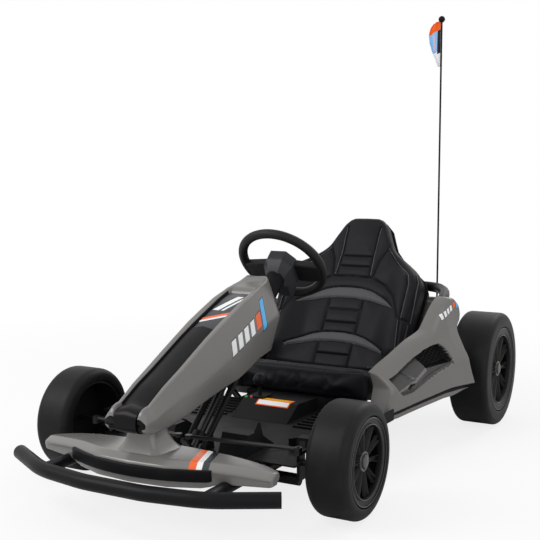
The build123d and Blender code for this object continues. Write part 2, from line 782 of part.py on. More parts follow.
def hoop_bar():
    half = [(311, pod_apex_y + 26, 326), (306, wheelbase - 138, hoop_z), (222, hoop_back_y, hoop_z)]
    points = [(-x, y, z) for x, y, z in half] + list(reversed(half))
    apex_z = pod_sections[2][7] + fit
    end_y = pod_end_y + fit
    end_z = pod_sections[3][7] + fit
    low_z = end_z - 100
    pod_top = side_profile([(pod_apex_y, low_z), (pod_apex_y, apex_z), (end_y, end_z), (end_y, low_z)], -400, 400)
    return bar(points, hoop_radius, hoop_bend) - pod_top


def antenna():
    foot_z = shelf_z + fit
    foot = rod(whip_foot_radius, (whip_x, whip_y, foot_z), (whip_x, whip_y, foot_z + 12))
    whip = rod(whip_radius, (whip_x, whip_y, foot_z), (whip_x, whip_y, whip_top_z - whip_ball_radius))
    ball = Pos(whip_x, whip_y, whip_top_z - whip_ball_radius) * Sphere(whip_ball_radius)
    return foot + whip + ball


def pennant():
    top = whip_top_z - 2 * whip_ball_radius - 2
    x_high = whip_x - whip_radius - fit
    half = pennant_thickness / 2
    return box((x_high - pennant_width, x_high), (whip_y - half, whip_y + half), (top - pennant_height, top))


os.makedirs("parts", exist_ok=True)

front_tyre = tyre(front_tyre_radius, front_bead_radius, front_tyre_width, front_shoulder)
rear_tyre = tyre(rear_tyre_radius, rear_bead_radius, rear_tyre_width, rear_shoulder)
front_middle = Pos(front_wheel_x, 0, front_axle_z)
rear_middle = Pos(rear_wheel_x, wheelbase, rear_axle_z)

for name, shape in (
    ("front_tyre", front_middle * front_tyre),
    ("front_rim", front_middle * rim(front_bead_radius, front_tyre_width)),
    ("rear_tyre", rear_middle * rear_tyre),
    ("rear_rim", rear_middle * rim(rear_bead_radius, rear_tyre_width)),
    ("knuckle", knuckle()),
    ("tie_rod", tie_rod()),
    ("foot_rest", foot_rest()),
    ("side_pod", pod()),
    ("pod_grille", pod_grille()),
    ("sill", sill()),
):
    left, right = both_sides(shape)
    save(f"{name}_left", left)
    save(f"{name}_right", right)

for name, shape in (
    ("frame_rails", frame_rails()),
    ("front_axle", front_axle()),
    ("bumper_bar", bumper_tube(bumper_radius)),
    ("floor_pan", floor_pan()),
    ("accelerator_pedal", accelerator_pedal()),
    ("console", console()),
    ("shift_lever", shift_lever()),
    ("nose_shell", nose_shell()),
    ("nose_panel", nose_panel()),
    ("number_plate", number_plate()),
    ("front_wing", front_wing()),
    ("wing_blade", wing_blade()),
    ("seat_shell", seat_shell()),
    ("seat_cushion", seat_cushion()),
    ("seat_back", seat_back()),
    ("rear_axle_beam", rear_axle_beam()),
    ("gearboxes", gearboxes()),
    ("battery_block", battery_block()),
    ("rear_cover", rear_cover()),
    ("hoop_bar", hoop_bar()),
    ("antenna", antenna()),
    ("pennant", pennant()),
    ("steering_shaft", steering_shaft()),
    ("steering_wheel", steering_wheel()),
    ("steering_hub", steering_hub()),
):
    save(name, shape)
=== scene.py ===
import bmesh
import bpy
import json
import numpy as np
from math import cos, exp, hypot, pi, radians, sin
from mathutils import Matrix, Vector


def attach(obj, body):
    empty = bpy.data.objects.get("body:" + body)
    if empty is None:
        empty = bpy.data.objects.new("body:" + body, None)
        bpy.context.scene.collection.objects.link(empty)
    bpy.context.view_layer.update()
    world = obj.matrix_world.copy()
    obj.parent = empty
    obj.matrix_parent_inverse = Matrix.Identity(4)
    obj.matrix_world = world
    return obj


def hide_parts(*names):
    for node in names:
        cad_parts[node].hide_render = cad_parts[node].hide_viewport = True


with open("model.json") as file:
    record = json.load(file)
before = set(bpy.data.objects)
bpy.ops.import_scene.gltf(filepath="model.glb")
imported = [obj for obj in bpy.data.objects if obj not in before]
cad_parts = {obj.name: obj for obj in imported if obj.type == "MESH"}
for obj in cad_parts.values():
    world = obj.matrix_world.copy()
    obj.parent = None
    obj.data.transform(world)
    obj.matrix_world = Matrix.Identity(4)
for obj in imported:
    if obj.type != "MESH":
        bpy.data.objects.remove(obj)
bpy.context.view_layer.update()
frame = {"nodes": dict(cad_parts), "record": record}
nodes = frame["nodes"]
print("frame loaded:", len(nodes), "nodes")


class Wire:  # a shader socket that can be used in a sum
    def __init__(self, tree, socket=None):
        self.tree = tree
        self.socket = socket

    def make(self, kind, settings=None, inputs=None, out=0):
        node = self.tree.nodes.new("ShaderNode" + kind)
        for name, value in (settings or {}).items():
            if name == "stops":
                while len(node.color_ramp.elements) < len(value):
                    node.color_ramp.elements.new(0.5)
                for element, (place, colour) in zip(node.color_ramp.elements, value):
                    element.position = place
                    element.color = (*colour, 1)
            else:
                setattr(node, name, value)
        for name, value in (inputs or {}).items():
            if isinstance(value, Wire):
                self.tree.links.new(value.socket, node.inputs[name])
            else:
                node.inputs[name].default_value = value
        return Wire(self.tree, node.outputs[out] if node.outputs else None)

    def math(self, operation, *terms):
        return self.make("Math", {"operation": operation}, dict(enumerate(terms)))

    def __add__(self, other):
        return self.math("ADD", self, other)

    def __sub__(self, other):
        return self.math("SUBTRACT", self, other)

    def __rsub__(self, other):
        return self.math("SUBTRACT", other, self)

    def __mul__(self, other):
        return self.math("MULTIPLY", self, other)

    def __gt__(self, other):
        return self.math("GREATER_THAN", self, other)

    def __lt__(self, other):
        return self.math("LESS_THAN", self, other)

    def __abs__(self):
        return self.math("ABSOLUTE", self)

    __radd__ = __add__
    __rmul__ = __mul__

    def between(self, low, high):
        return (self > low) * (self < high)

    def either(self, other):
        return self.math("MAXIMUM", self, other)

    def tint(self, colour, mask):  # another colour laid over this one where the mask is 1
        return self.make("Mix", {"data_type": "RGBA"}, {0: mask, 6: self, 7: (*colour, 1)}, out=2)


def finishOf(name, look, overlay=None):
    # look holds the colour and how it varies; overlay lays decals over it from x, y and z
    material = bpy.data.materials.new(name)
    material.use_nodes = True
    tree = material.node_tree
    tree.nodes.clear()
    start = Wire(tree)
    place = start.make("TexCoord", out=3)
    split = place.make("SeparateXYZ", None, {0: place}).socket.node
    x, y, z = (Wire(tree, split.outputs[i]) for i in range(3))

    def noise(scale, detail=3.0):
        return place.make("TexNoise", None, {"Vector": place, "Scale": scale, "Detail": detail})

    tone = look.get("tone", 0.08)
    dark = [c * (1 - tone) for c in look["colour"]]
    light = [c * (1 + tone) for c in look["colour"]]
    cloud = noise(look.get("cloud", 9.0))
    base = start.make("Mix", {"data_type": "RGBA"}, {0: cloud, 6: (*dark, 1), 7: (*light, 1)}, out=2)
    if look.get("dust"):  # paler wear in the hollows of a coarse noise
        wear = (noise(look["dustScale"], 5.0) - 0.52) * 6
        wear = wear.math("MINIMUM", wear.math("MAXIMUM", wear, 0.0), 1.0)
        base = base.tint(look["dust"], wear * look["dustAmount"])
    rough = (noise(look.get("smudge", 22.0)) - 0.5) * look.get("spread", 0.1) + look["rough"]
    if overlay:
        base = overlay(base, x, y, z)
    height = noise(look.get("grain", 900.0), 2.0)
    if look.get("pores"):
        pores = place.make("TexVoronoi", {"feature": "DISTANCE_TO_EDGE"},
                           {"Vector": place, "Scale": look["pores"]})
        height = height * 0.4 + pores.math("MINIMUM", pores * 3, 0.5)
    bump = start.make("Bump", None, {"Height": height, "Strength": look.get("bump", 0.1), "Distance": 0.001})
    shader = start.make("BsdfPrincipled", None, {
        "Base Color": base, "Roughness": rough, "Normal": bump, "Metallic": look.get("metal", 0.0),
        "Specular IOR Level": look.get("gloss", 0.5), "Coat Weight": look.get("coat", 0.0),
        "Coat Roughness": 0.12, "Sheen Weight": look.get("sheen", 0.0)})
    start.make("OutputMaterial", None, {"Surface": shader})
    return material


orange, white, sky = (0.86, 0.115, 0.008), (0.86, 0.86, 0.86), (0.075, 0.45, 0.88)
navy, amber, paleBlue, rose = (0.012, 0.014, 0.022), (0.8, 0.42, 0.01), (0.24, 0.5, 0.8), (0.75, 0.45, 0.45)
bodyGrey = {"colour": (0.165, 0.158, 0.148), "tone": 0.05, "cloud": 4.0, "rough": 0.24, "spread": 0.1,
            "bump": 0.025, "grain": 500.0, "gloss": 0.45}


def slanted(along, up, starts, width, low, high, lean):
    # a row of leaning bars in a strip's own lengthwise and crosswise places
    row = along - up * lean
    mask = None
    for start in starts:
        bar = row.between(start, start + width)
        mask = bar if mask is None else mask.either(bar)
    return mask * up.between(low, high)


def strip(y, z, origin, angle):
    along = (y - origin[0]) * cos(angle) + (z - origin[1]) * sin(angle)
    up = (z - origin[1]) * cos(angle) - (y - origin[0]) * sin(angle)
    return along, up


# bars in the place of the side's lettering, in shares of its size: starts, width, low, high and colour
raceBars = {"lean": 0.45, "edge": 0.07, "rows": (
    ((0.0, 0.98, 1.96, 2.94), 0.66, 0.0, 1.0, white), ((3.95,), 0.8, 0.0, 1.05, orange),
    ((4.95,), 0.62, -0.45, 1.65, sky))}
noseMark = {"origin": (-0.310, 0.291), "angle": radians(21), "size": 0.0285, "beyond": 0.0405}
podMark = {"origin": (0.279, 0.3065), "angle": radians(30), "size": 0.0125, "beyond": 0.27}


def raceMarks(base, x, y, z, mark):
    # the bars with a thin dark edge, on both sides beyond a distance from the middle
    side = abs(x) > mark["beyond"]
    along, up = strip(y, z, mark["origin"], mark["angle"])
    size, lean = mark["size"], raceBars["lean"]
    edge = size * raceBars["edge"]
    for starts, width, low, high, colour in raceBars["rows"]:
        first = [s * size for s in starts]
        width, low, high = width * size, low * size, high * size
        wide = slanted(along, up, [s - edge for s in first], width + 2 * edge, low - edge, high + edge, lean)
        base = base.tint(navy, wide * side)
        base = base.tint(colour, slanted(along, up, first, width, low, high, lean) * side)
    return base


def noseDecals(base, x, y, z):
    return raceMarks(base, x, y, z, noseMark)


def podDecals(base, x, y, z):
    return raceMarks(base, x, y, z, podMark)


# the wing's stripes run outwards towards its front edge, only on its top and behind its lip
wingStripes = {"level": 0.5, "spread": -0.33, "above": 0.112, "behind": -0.585,
               "bands": ((0.096, 0.111, orange), (0.111, 0.1225, white), (0.1225, 0.136, navy))}


def wingDecals(base, x, y, z):
    row = x - (y + wingStripes["level"]) * wingStripes["spread"]
    top = (z > wingStripes["above"]) * (y > wingStripes["behind"])
    for low, high, colour in wingStripes["bands"]:
        base = base.tint(colour, row.between(low, high) * top)
    return base


# the plate's slanted bands, and two leaning bars in the place of its number
plateMarks = {"slope": 0.55, "bands": ((-0.291, -0.2805, orange), (-0.2985, -0.291, white)), "level": 0.24,
              "lean": 0.45, "bars": ((-0.012, 0.003), (0.009, 0.016)), "ends": (-0.262, -0.2)}


def plateDecals(base, x, y, z):
    row = y - x * plateMarks["slope"]
    for low, high, colour in plateMarks["bands"]:
        base = base.tint(colour, row.between(low, high))
    lean = x - (y + plateMarks["level"]) * plateMarks["lean"]
    first, second = (lean.between(*bar) for bar in plateMarks["bars"])
    return base.tint(white, first.either(second) * y.between(*plateMarks["ends"]))


label = {"x": (-0.034, 0.054), "y": (-0.056, -0.014), "middle": -0.037, "edge": 0.003, "above": 0.108}


def labelBlocks(base, x, y, z):
    # plain colour blocks where the console carries a sticker
    (left, right), (front, back), middle = label["x"], label["y"], label["middle"]
    edge, top = label["edge"], z > label["above"]
    base = base.tint(orange, x.between(left, right) * y.between(front, back) * top)
    inner = x.between(left + edge, right - edge)
    base = base.tint(amber, inner * y.between(middle, back - edge) * top)
    return base.tint(white, inner * y.between(front + edge, middle - edge) * top)


# how far each band lies down the flag and out from its rod
flagMarks = {"rod": 0.1972, "top": 1.085, "fall": 0.5, "blueDown": (0.022, 0.078), "stripDown": (0.03, 0.07),
             "stripOut": (0.016, 0.0205), "navyDown": (0.014, 0.085), "navyOut": 0.0085, "orangeDown": 0.022}


def flagBands(base, x, y, z):
    # plain bands of colour: orange above, blue with a rose strip, navy along the rod, white below
    fromRod = flagMarks["rod"] - x
    fallen = flagMarks["top"] - z - fromRod * flagMarks["fall"]
    base = base.tint(paleBlue, fallen.between(*flagMarks["blueDown"]))
    base = base.tint(rose, fallen.between(*flagMarks["stripDown"]) * fromRod.between(*flagMarks["stripOut"]))
    base = base.tint(navy, fallen.between(*flagMarks["navyDown"]) * (fromRod < flagMarks["navyOut"]))
    return base.tint(orange, fallen < flagMarks["orangeDown"])


# the backrest's plane in mm: its foot from the front axle and the ground, and its slope
seatTilt = {"foot": (622, 179), "rise": 0.833, "lean": 0.553, "zero": 312.8}
# top and bottom of each arc up the backrest in mm, how fast each falls, and the arc's half width
inlays = ((215, 2.52e-4, 182.5, 1.24e-4, 149), (77, 2.1e-4, 50.5, 1.32e-4, 144))
inlayPower = 2.5


def seatInlays(base, x, y, z):
    # two grey arcs across the backrest, between curves that fall away from the middle
    up = y * (1000 * seatTilt["lean"]) + z * (1000 * seatTilt["rise"]) - seatTilt["zero"]
    wide = abs(x) * 1000
    fall = wide.math("POWER", wide, inlayPower)
    for high, highFall, low, lowFall, end in inlays:
        arc = (up < high - fall * highFall) * (up > low - fall * lowFall) * (wide < end)
        base = base.tint((0.078, 0.078, 0.08), arc)
    return base


black = {"colour": (0.0055, 0.0055, 0.0063), "rough": 0.46, "spread": 0.14, "gloss": 0.1, "bump": 0.12}
leather = {"colour": (0.0048, 0.0051, 0.0066), "rough": 0.48, "spread": 0.12, "gloss": 0.15, "bump": 0.22,
           "grain": 700.0, "pores": 620.0}
finishes = {  # name, values and what lays its decals
    "body_grey": ("grey body paint", bodyGrey),
    "nose_grey": ("grey nose paint", bodyGrey, noseDecals),
    "pod_grey": ("grey pod paint", bodyGrey, podDecals),
    # a darker grey for the faces inside the pod's scoop: painted shade standing in for the shade there
    "scoop_painted_shade": ("scoop paint with painted shade", {**bodyGrey, "colour": (0.05, 0.049, 0.047)}),
    "wing_grey": ("grey wing paint", {**bodyGrey, "gloss": 0.62}, wingDecals),
    "gloss_black": ("gloss black panel", {**black, "rough": 0.3, "gloss": 0.1, "bump": 0.02, "grain": 300.0}),
    "pad_plastic": ("wheel pad plastic", {**black, "colour": (0.02, 0.021, 0.024), "gloss": 0.3}),
    "black_plastic": ("grained black plastic", {**black, "dust": (0.014, 0.014, 0.014), "dustScale": 30.0,
                                                "dustAmount": 0.3}),
    "console": ("console plastic", black, labelBlocks),
    "plate": ("number plate film", {**black, "colour": navy, "rough": 0.25, "gloss": 0.5}, plateDecals),
    "tyre": ("moulded tyre", {"colour": (0.0045, 0.0045, 0.005), "rough": 0.5, "spread": 0.12, "gloss": 0.17,
                              "grain": 1400.0, "bump": 0.08, "dust": (0.016, 0.0155, 0.015),
                              "dustScale": 16.0, "dustAmount": 0.35}),
    "rim": ("satin rim plastic", {"colour": (0.05, 0.05, 0.047), "rough": 0.34, "spread": 0.1, "gloss": 0.4,
                                  "bump": 0.06}),
    "rim_dark": ("dark rim plastic", {"colour": (0.0048, 0.0048, 0.0052), "rough": 0.42, "spread": 0.1,
                                      "gloss": 0.2, "bump": 0.06}),
    "frame_paint": ("black frame paint", {**black, "rough": 0.4, "gloss": 0.11, "bump": 0.05,
                                              "grain": 350.0}),
    "steel": ("blackened steel", {"colour": (0.02, 0.02, 0.021), "rough": 0.36, "spread": 0.16, "metal": 0.6,
                                  "bump": 0.06, "grain": 600.0}),
    "seat_leather": ("black seat leather", leather),
    "seat_back": ("black seat leather with grey arcs", leather, seatInlays),
    "stitch": ("seat thread", {"colour": (0.42, 0.42, 0.44), "rough": 0.7, "gloss": 0.2}),
    "grip": ("grip rubber", {"colour": (0.010, 0.010, 0.0105), "rough": 0.5, "spread": 0.1, "gloss": 0.2,
                             "bump": 0.2, "pores": 700.0}),
    "flag": ("flag cloth", {"colour": (0.78, 0.78, 0.8), "rough": 0.8, "gloss": 0.2, "bump": 0.2,
                            "sheen": 0.2}, flagBands),
    "lamp_green": ("green switch", {"colour": (0.01, 0.3, 0.08), "rough": 0.3}),
    "lamp_red": ("red switch", {"colour": (0.5, 0.01, 0.01), "rough": 0.3}),
}
looks = {name: finishOf(*finish) for name, finish in finishes.items()}
print("finishes made:", len(looks))


def give(piece, look, body="chassis", stands=()):
    if len(piece.data.materials) < 2:
        piece.data.materials.clear()
        piece.data.materials.append(looks[look])
    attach(piece, body)
    if stands:
        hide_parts(*stands)


axle = 326  # the front axle lies this many millimetres in front of the frame's origin


def mm(x, y, z):  # millimetres with y counted from the front axle, as in the part's source
    return Vector((x / 1000, (y - axle) / 1000, z / 1000))


def inMm(place):  # the other way round
    return place.x * 1000, place.y * 1000 + axle, place.z * 1000


# every CAD node gets its finish; a piece below may stand in for it
for subpart in frame["record"]["subparts"]:
    nodes[subpart["node"]].data.materials.clear()
    nodes[subpart["node"]].data.materials.append(looks[subpart["material_slot"]])
nodes["console"].data.materials[0] = looks["console"]


def build(name, points, faces, angle=35):
    mesh = bpy.data.meshes.new(name)
    mesh.from_pydata([tuple(p) for p in points], [], faces)
    piece = bpy.data.objects.new(name, mesh)
    bpy.context.collection.objects.link(piece)
    return tidy(piece, angle)


def tidy(piece, angle=35, weld=1e-5):
    # merges doubles, points the faces outwards and shades the piece smooth up to an angle
    bpy.ops.object.select_all(action="DESELECT")
    bpy.context.view_layer.objects.active = piece
    piece.select_set(True)
    bpy.ops.object.mode_set(mode="EDIT")
    bpy.ops.mesh.select_all(action="SELECT")
    bpy.ops.mesh.remove_doubles(threshold=weld)
    bpy.ops.mesh.normals_make_consistent(inside=False)
    bpy.ops.object.mode_set(mode="OBJECT")
    bpy.ops.object.shade_smooth_by_angle(angle=radians(angle))
    return piece


def settle(piece):  # puts an object's place into its mesh
    piece.data.transform(piece.matrix_world)
    piece.matrix_world = Matrix()
    return piece


def joined(name, pieces):
    bpy.ops.object.select_all(action="DESELECT")
    for piece in pieces:
        piece.select_set(True)
    bpy.context.view_layer.objects.active = pieces[0]
    bpy.ops.object.join()
    pieces[0].name = name
    return pieces[0]


def copied(piece, name):  # a copy with its own mesh
    copy = piece.copy()
    copy.data = piece.data.copy()
    bpy.context.collection.objects.link(copy)
    copy.name = name
    return copy


def mirroredCopy(piece, name):
    copy = copied(piece, name)
    copy.data.transform(Matrix.Scale(-1, 4, (1, 0, 0)))
    copy.data.flip_normals()
    return copy


def thicken(piece, wall, offset=-1):  # gives an open skin its wall, inwards or about its middle
    solid = piece.modifiers.new("wall", "SOLIDIFY")
    solid.thickness, solid.offset = wall / 1000, offset
    bpy.context.view_layer.objects.active = piece
    bpy.ops.object.modifier_apply(modifier="wall")


def rounded(corners, steps=5, closed=True):
    # a polyline with its corners rounded; each corner is two places and a radius
    out = []
    count = len(corners)
    for i, (u, v, radius) in enumerate(corners):
        here = Vector((u, v))
        if radius == 0 or (not closed and i in (0, count - 1)):
            out += [here] * (1 if radius == 0 or not closed else steps + 1)
            continue
        before = Vector(corners[i - 1][:2]) - here
        after = Vector(corners[(i + 1) % count][:2]) - here
        bend = before.angle(after) / 2
        reach = radius / max(sin(bend) / max(cos(bend), 1e-6), 1e-3)
        reach = min(reach, before.length * 0.49, after.length * 0.49)
        start = here + before.normalized() * reach
        end = here + after.normalized() * reach
        for k in range(steps + 1):
            t = k / steps
            out.append(start * (1 - t) ** 2 + here * (2 * t * (1 - t)) + end * t * t)
    return out


def smoothRows(rows, stations, wanted):
    # rows of equal length, run smoothly through their stations
    out = []
    for t in wanted:
        i = max(k for k in range(len(stations) - 1) if stations[k] <= t or k == 0)
        a, b = stations[i], stations[i + 1]
        s = (t - a) / (b - a)
        row = []
        for p0, p1, p2, p3 in zip(rows[max(i - 1, 0)], rows[i], rows[i + 1], rows[min(i + 2, len(rows) - 1)]):
            m1 = (p2 - p0) * ((b - a) / (b - stations[max(i - 1, 0)])) if i else p2 - p1
            last = min(i + 2, len(stations) - 1)
            m2 = (p3 - p1) * ((b - a) / (stations[last] - a)) if last > i + 1 else p2 - p1
            row.append(p1 * (2 * s ** 3 - 3 * s * s + 1) + m1 * (s ** 3 - 2 * s * s + s)
                       + p2 * (3 * s * s - 2 * s ** 3) + m2 * (s ** 3 - s * s))
        out.append(row)
    return out


def gridFaces(rows, columns, loop=False, first=0):
    faces = []
    for i in range(rows - 1):
        for j in range(columns if loop else columns - 1):
            k = (j + 1) % columns
            faces.append((first + i * columns + j, first + i * columns + k,
                          first + (i + 1) * columns + k, first + (i + 1) * columns + j))
    return faces


def gridBorder(rows, columns):
    # the points round a grid's edge: along its first row and round to it again
    last = (rows - 1) * columns
    border = list(range(columns)) + [i * columns + columns - 1 for i in range(1, rows)]
    border += list(range(last + columns - 2, last - 1, -1))
    return border + [i * columns for i in range(rows - 2, 0, -1)]


def closeSheet(faces, rings):
    # walls between rings of point numbers, and a cap on the last one
    for upper, lower in zip(rings, rings[1:]):
        for k in range(len(upper)):
            n = (k + 1) % len(upper)
            faces.append((upper[k], upper[n], lower[n], lower[k]))
    faces.append(tuple(reversed(rings[-1])))


def bothSides(half):
    # a row of places from one side to its middle, with the other side in front of it
    return [(-place[0], *place[1:]) for place in half[:-1]] + half[::-1]


def skin(name, rings, caps=True, angle=35):
    # closed rings joined into one shell
    count = len(rings[0])
    faces = gridFaces(len(rings), count, loop=True)
    if caps:
        faces += [tuple(range(count)), tuple(range((len(rings) - 1) * count, len(rings) * count))]
    return build(name, [p for ring in rings for p in ring], faces, angle)


def lerp(table, t):
    # straight-line reading of a table of (place, value, value...)
    if t <= table[0][0]:
        return table[0][1:]
    for low, high in zip(table, table[1:]):
        if t <= high[0]:
            share = (t - low[0]) / (high[0] - low[0])
            return [a + share * (b - a) for a, b in zip(low[1:], high[1:])]
    return table[-1][1:]


# nose: sections from the part's source, with rounded ridges, a channel between them and an open back
nose = {"wall": 3.0, "channelHalf": 25.0, "mouthHalf": 31.0, "channelDepth": 21.0, "channelEnd": 145.0,
        "channelRise": 2.6, "leastDepth": 1.5, "ridgeRound": 5, "rounderFrom": 120, "rounder": 0.11,
        "front": -250, "rear": 221, "sweepFrom": 40, "step": 8}
noseTip = {"reach": 31.0, "channelBack": 9, "channelHalf": 28, "height": 211, "narrow": 0.93, "flatten": 0.6,
           "steps": 8}
noseBlack = {"half": 30.5, "below": 1.2, "deep": 24, "tipHalf": 22.5}
noseTable = [  # y, ridge half width and height, waist half width and height, foot half width and height
    (-250, 37, 243, 52, 218, 49, 190), (-200, 40, 270, 53, 231, 50, 191), (-150, 42, 292, 54.5, 246, 51, 198),
    (-100, 43, 316, 56, 260, 52, 210), (-50, 43, 340, 57.5, 275, 51, 219), (0, 45, 362, 58.5, 290, 51, 227),
    (50, 45, 382, 59.5, 306, 52, 235), (100, 44, 402, 60, 322, 52, 246), (150, 40, 418, 59, 337, 51, 258),
    (200, 34, 431, 56, 349, 49, 266), (221, 28, 441, 54, 353, 46, 268)]
# heights, and y of the nose's rear end there
noseRear = [(266, 175), (280, 218), (305, 236), (350, 233), (431, 221), (441, 219)]


def noseRing(y):
    ridge, top, waist, middle, foot, low = lerp(noseTable, y)
    depth = nose["channelDepth"] - max(y - nose["channelEnd"], 0) * nose["channelRise"]
    depth = max(nose["leastDepth"], depth)
    soft = nose["ridgeRound"] + max(y - nose["rounderFrom"], 0) * nose["rounder"]
    mouth = min(nose["mouthHalf"], ridge - soft)
    floor = min(nose["channelHalf"], mouth - 3)
    half = rounded([(0, top - depth, 0), (floor, top - depth, 2), (mouth, top - 1, 2.5), (ridge, top, soft),
                    (waist, middle, 34), (foot, low, 9), (0, low - 2, 0)], steps=6, closed=False)
    blend = min(max((y - nose["sweepFrom"]) / (nose["rear"] - nose["sweepFrom"]), 0), 1) ** 1.5
    return [Vector((u, y + (lerp(noseRear, v)[0] - nose["rear"]) * blend, v)) for u, v in half]


halves = [noseRing(y) for y in list(range(nose["front"], nose["rear"], nose["step"])) + [nose["rear"]]]
frontHalf = halves[0]
for k in range(1, noseTip["steps"] + 1):  # the rounded front end
    turn = k / (noseTip["steps"] + 1) * pi / 2
    width = noseTip["narrow"] + (1 - noseTip["narrow"]) * cos(turn)
    row = []
    for p in frontHalf:
        reach = noseTip["reach"] - (noseTip["channelBack"] if p.x < noseTip["channelHalf"] else 0)
        rise = (p.z - noseTip["height"]) * cos(turn) ** noseTip["flatten"]
        row.append(Vector((p.x * width, nose["front"] - reach * sin(turn), noseTip["height"] + rise)))
    halves.insert(0, row)
rings = [[mm(*p) for p in half] + [mm(-p.x, p.y, p.z) for p in reversed(half[1:-1])] for half in halves]
shell = skin("noseShell", rings, caps=False, angle=42)
bm = bmesh.new()
bm.from_mesh(shell.data)
front = [e for e in bm.edges if e.is_boundary and e.verts[0].co.y < -0.5]
bmesh.ops.holes_fill(bm, edges=front, sides=0)
bm.normal_update()
bm.to_mesh(shell.data)
bm.free()
thicken(shell, nose["wall"])
give(shell, "nose_grey", stands=["nose_shell"])
shell.data.materials.append(looks["gloss_black"])
# black: the channel's walls and floor up to the number plate, and the middle of the front end
for face in shell.data.polygons:
    x, y, z = inMm(face.center)
    fallen = lerp(noseTable, y)[1] - z
    inChannel = nose["front"] < y < nose["channelEnd"] and noseBlack["below"] < fallen < noseBlack["deep"]
    if (abs(x) < noseBlack["half"] and inChannel) or (abs(x) < noseBlack["tipHalf"] and y < nose["front"]):
        face.material_index = 1
print("nose shell done")

# black panel in the channel: a low gable almost level with the ridges, folded down at its front
panel = {"footHalf": 24.0, "edgeHalf": 28.6, "edgeDrop": 6.5, "crestDrop": 0.5, "lift": 0.4, "back": -9.0,
         "bevel": 1.2, "height": 211.0, "reach": 33.0, "inside": 20.0, "foldSteps": 10, "narrow": 0.94,
         "flatten": 0.6, "below": (-12.0, -22.6, -23.2), "above": (11.4, 25.5, 31.5)}
rings = []
steps = panel["foldSteps"]
folds = [(panel["below"], k) for k in range(steps)] + [(panel["above"], k) for k in range(steps, 0, -1)]
for (footRise, edgeRise, crestRise), k in folds:
    turn = k / steps * pi / 2
    share = max(cos(turn), 0.0) ** panel["flatten"]
    width = panel["narrow"] + (1 - panel["narrow"]) * share
    half = [(panel["footHalf"], panel["inside"], footRise),
            (panel["edgeHalf"] - 2, panel["reach"] - 0.8, edgeRise), (0, panel["reach"], crestRise)]
    rings.append([mm(u * width, nose["front"] - reach * sin(turn), panel["height"] + rise * share)
                  for u, reach, rise in bothSides(half)])
for y in list(range(nose["front"], -14, 12)) + [panel["back"] - 2, panel["back"]]:
    top = lerp(noseTable, y)[1]
    inset = panel["bevel"] if y == panel["back"] else 0
    half = [(panel["footHalf"], top - nose["channelDepth"] + panel["lift"]),
            (panel["edgeHalf"] - inset, top - panel["edgeDrop"] - inset),
            (0, top - panel["crestDrop"] - inset)]
    rings.append([mm(u, y, v) for u, v in bothSides(half)])
give(skin("nosePanel", rings, angle=25), "gloss_black", stands=["nose_panel"])

# number plate in its recess
plate = {"footHalf": 24, "topHalf": 26.5, "high": 13,
         "stations": (-8, -7, -4.6, 20, 50, 80, 110, 140.6, 142, 143),
         "bevels": {-8: 1.2, -7: 0.3, 142: 0.3, 143: 1.2}}
rings = []
for y in plate["stations"]:
    foot = lerp(noseTable, y)[1] - nose["channelDepth"] + panel["lift"]
    bevel = plate["bevels"].get(y, 0)
    half, top = plate["topHalf"] - bevel, foot + plate["high"] - bevel
    section = rounded([(-plate["footHalf"], foot, 0.5), (-half, top, 1.5), (half, top, 1.5),
                       (plate["footHalf"], foot, 0.5)], steps=4)
    rings.append([mm(u, y, v) for u, v in section])
give(skin("numberPlate", rings, angle=30), "plate", stands=["number_plate"])
print("nose panel and plate done")

# wing: rounded sections along x, a lip below the blade at the front and a filleted neck
wing = {"low": 113.2, "lipLow": 105.0, "lipDrop": 9, "lipHalf": 172, "lipRamp": 24, "tipFrom": 262, "tip": 8,
        "tipSteps": 8, "tipDeep": 0.66, "tipHigh": 0.72}
wingTable = [(0, -276, -150, 147), (80, -268, -150, 146), (157, -237, -148, 142), (200, -223, -148, 138),
             (235, -213, -151, 134), (270, -203, -166, 130)]  # x, front, back, top


def wingSection(x, front, back, high):
    low = wing["low"]
    lip = wing["lipLow"] - wing["lipDrop"] * min(max((wing["lipHalf"] - abs(x)) / wing["lipRamp"], 0), 1)
    ring = rounded([(front + 3, lip, 5), (front + 17, lip, 2), (front + 21, low, 2), (back - 3, low, 4),
                    (back, high - 3, 9), (front + 18, high, 14), (front - 1, high - 9, 7)], steps=5)
    return [mm(x, u, v) for u, v in ring]


places = [0, 20, 40, 60, 80, 100, 120, 140, 157, 170, 182, 194, 206, 218, 230, 240, 250, 257]
rings = [wingSection(x, *lerp(wingTable, x)) for x in places + [wing["tipFrom"]]]
for k in range(1, wing["tipSteps"]):
    turn = k / wing["tipSteps"] * pi / 2
    x = wing["tipFrom"] + wing["tip"] * sin(turn)
    front, back, high = lerp(wingTable, x)
    middle = (front + back) / 2
    deep = wing["tipDeep"] + (1 - wing["tipDeep"]) * cos(turn)
    tall = wing["tipHigh"] + (1 - wing["tipHigh"]) * cos(turn)
    ring = wingSection(x, middle + (front - middle) * deep, middle + (back - middle) * deep, high)
    centre = (high + wing["lipLow"]) / 2000
    rings.append([Vector((p.x, p.y, centre + (p.z - centre) * tall)) for p in ring])
mirrored = [[Vector((-p.x, p.y, p.z)) for p in ring] for ring in reversed(rings[1:])]
wingBody = skin("wingBody", mirrored + rings, angle=40)
neck = {"low": 141, "high": 200, "half": 31, "front": -240, "back": -178, "flareHalf": 22, "flareFront": 12,
        "flareBack": 24, "round": 18, "steps": 16}
rings = []
for k in range(neck["steps"] + 1):
    s = k / neck["steps"]
    flare = (1 - s) ** 2.6
    half = neck["half"] + neck["flareHalf"] * flare
    front, back = neck["front"] - neck["flareFront"] * flare, neck["back"] + neck["flareBack"] * flare
    corners = ((-half, front), (half, front), (half, back), (-half, back))
    ring = rounded([(u, v, neck["round"]) for u, v in corners], steps=6)
    rings.append([mm(u, v, neck["low"] + s * (neck["high"] - neck["low"])) for u, v in ring])
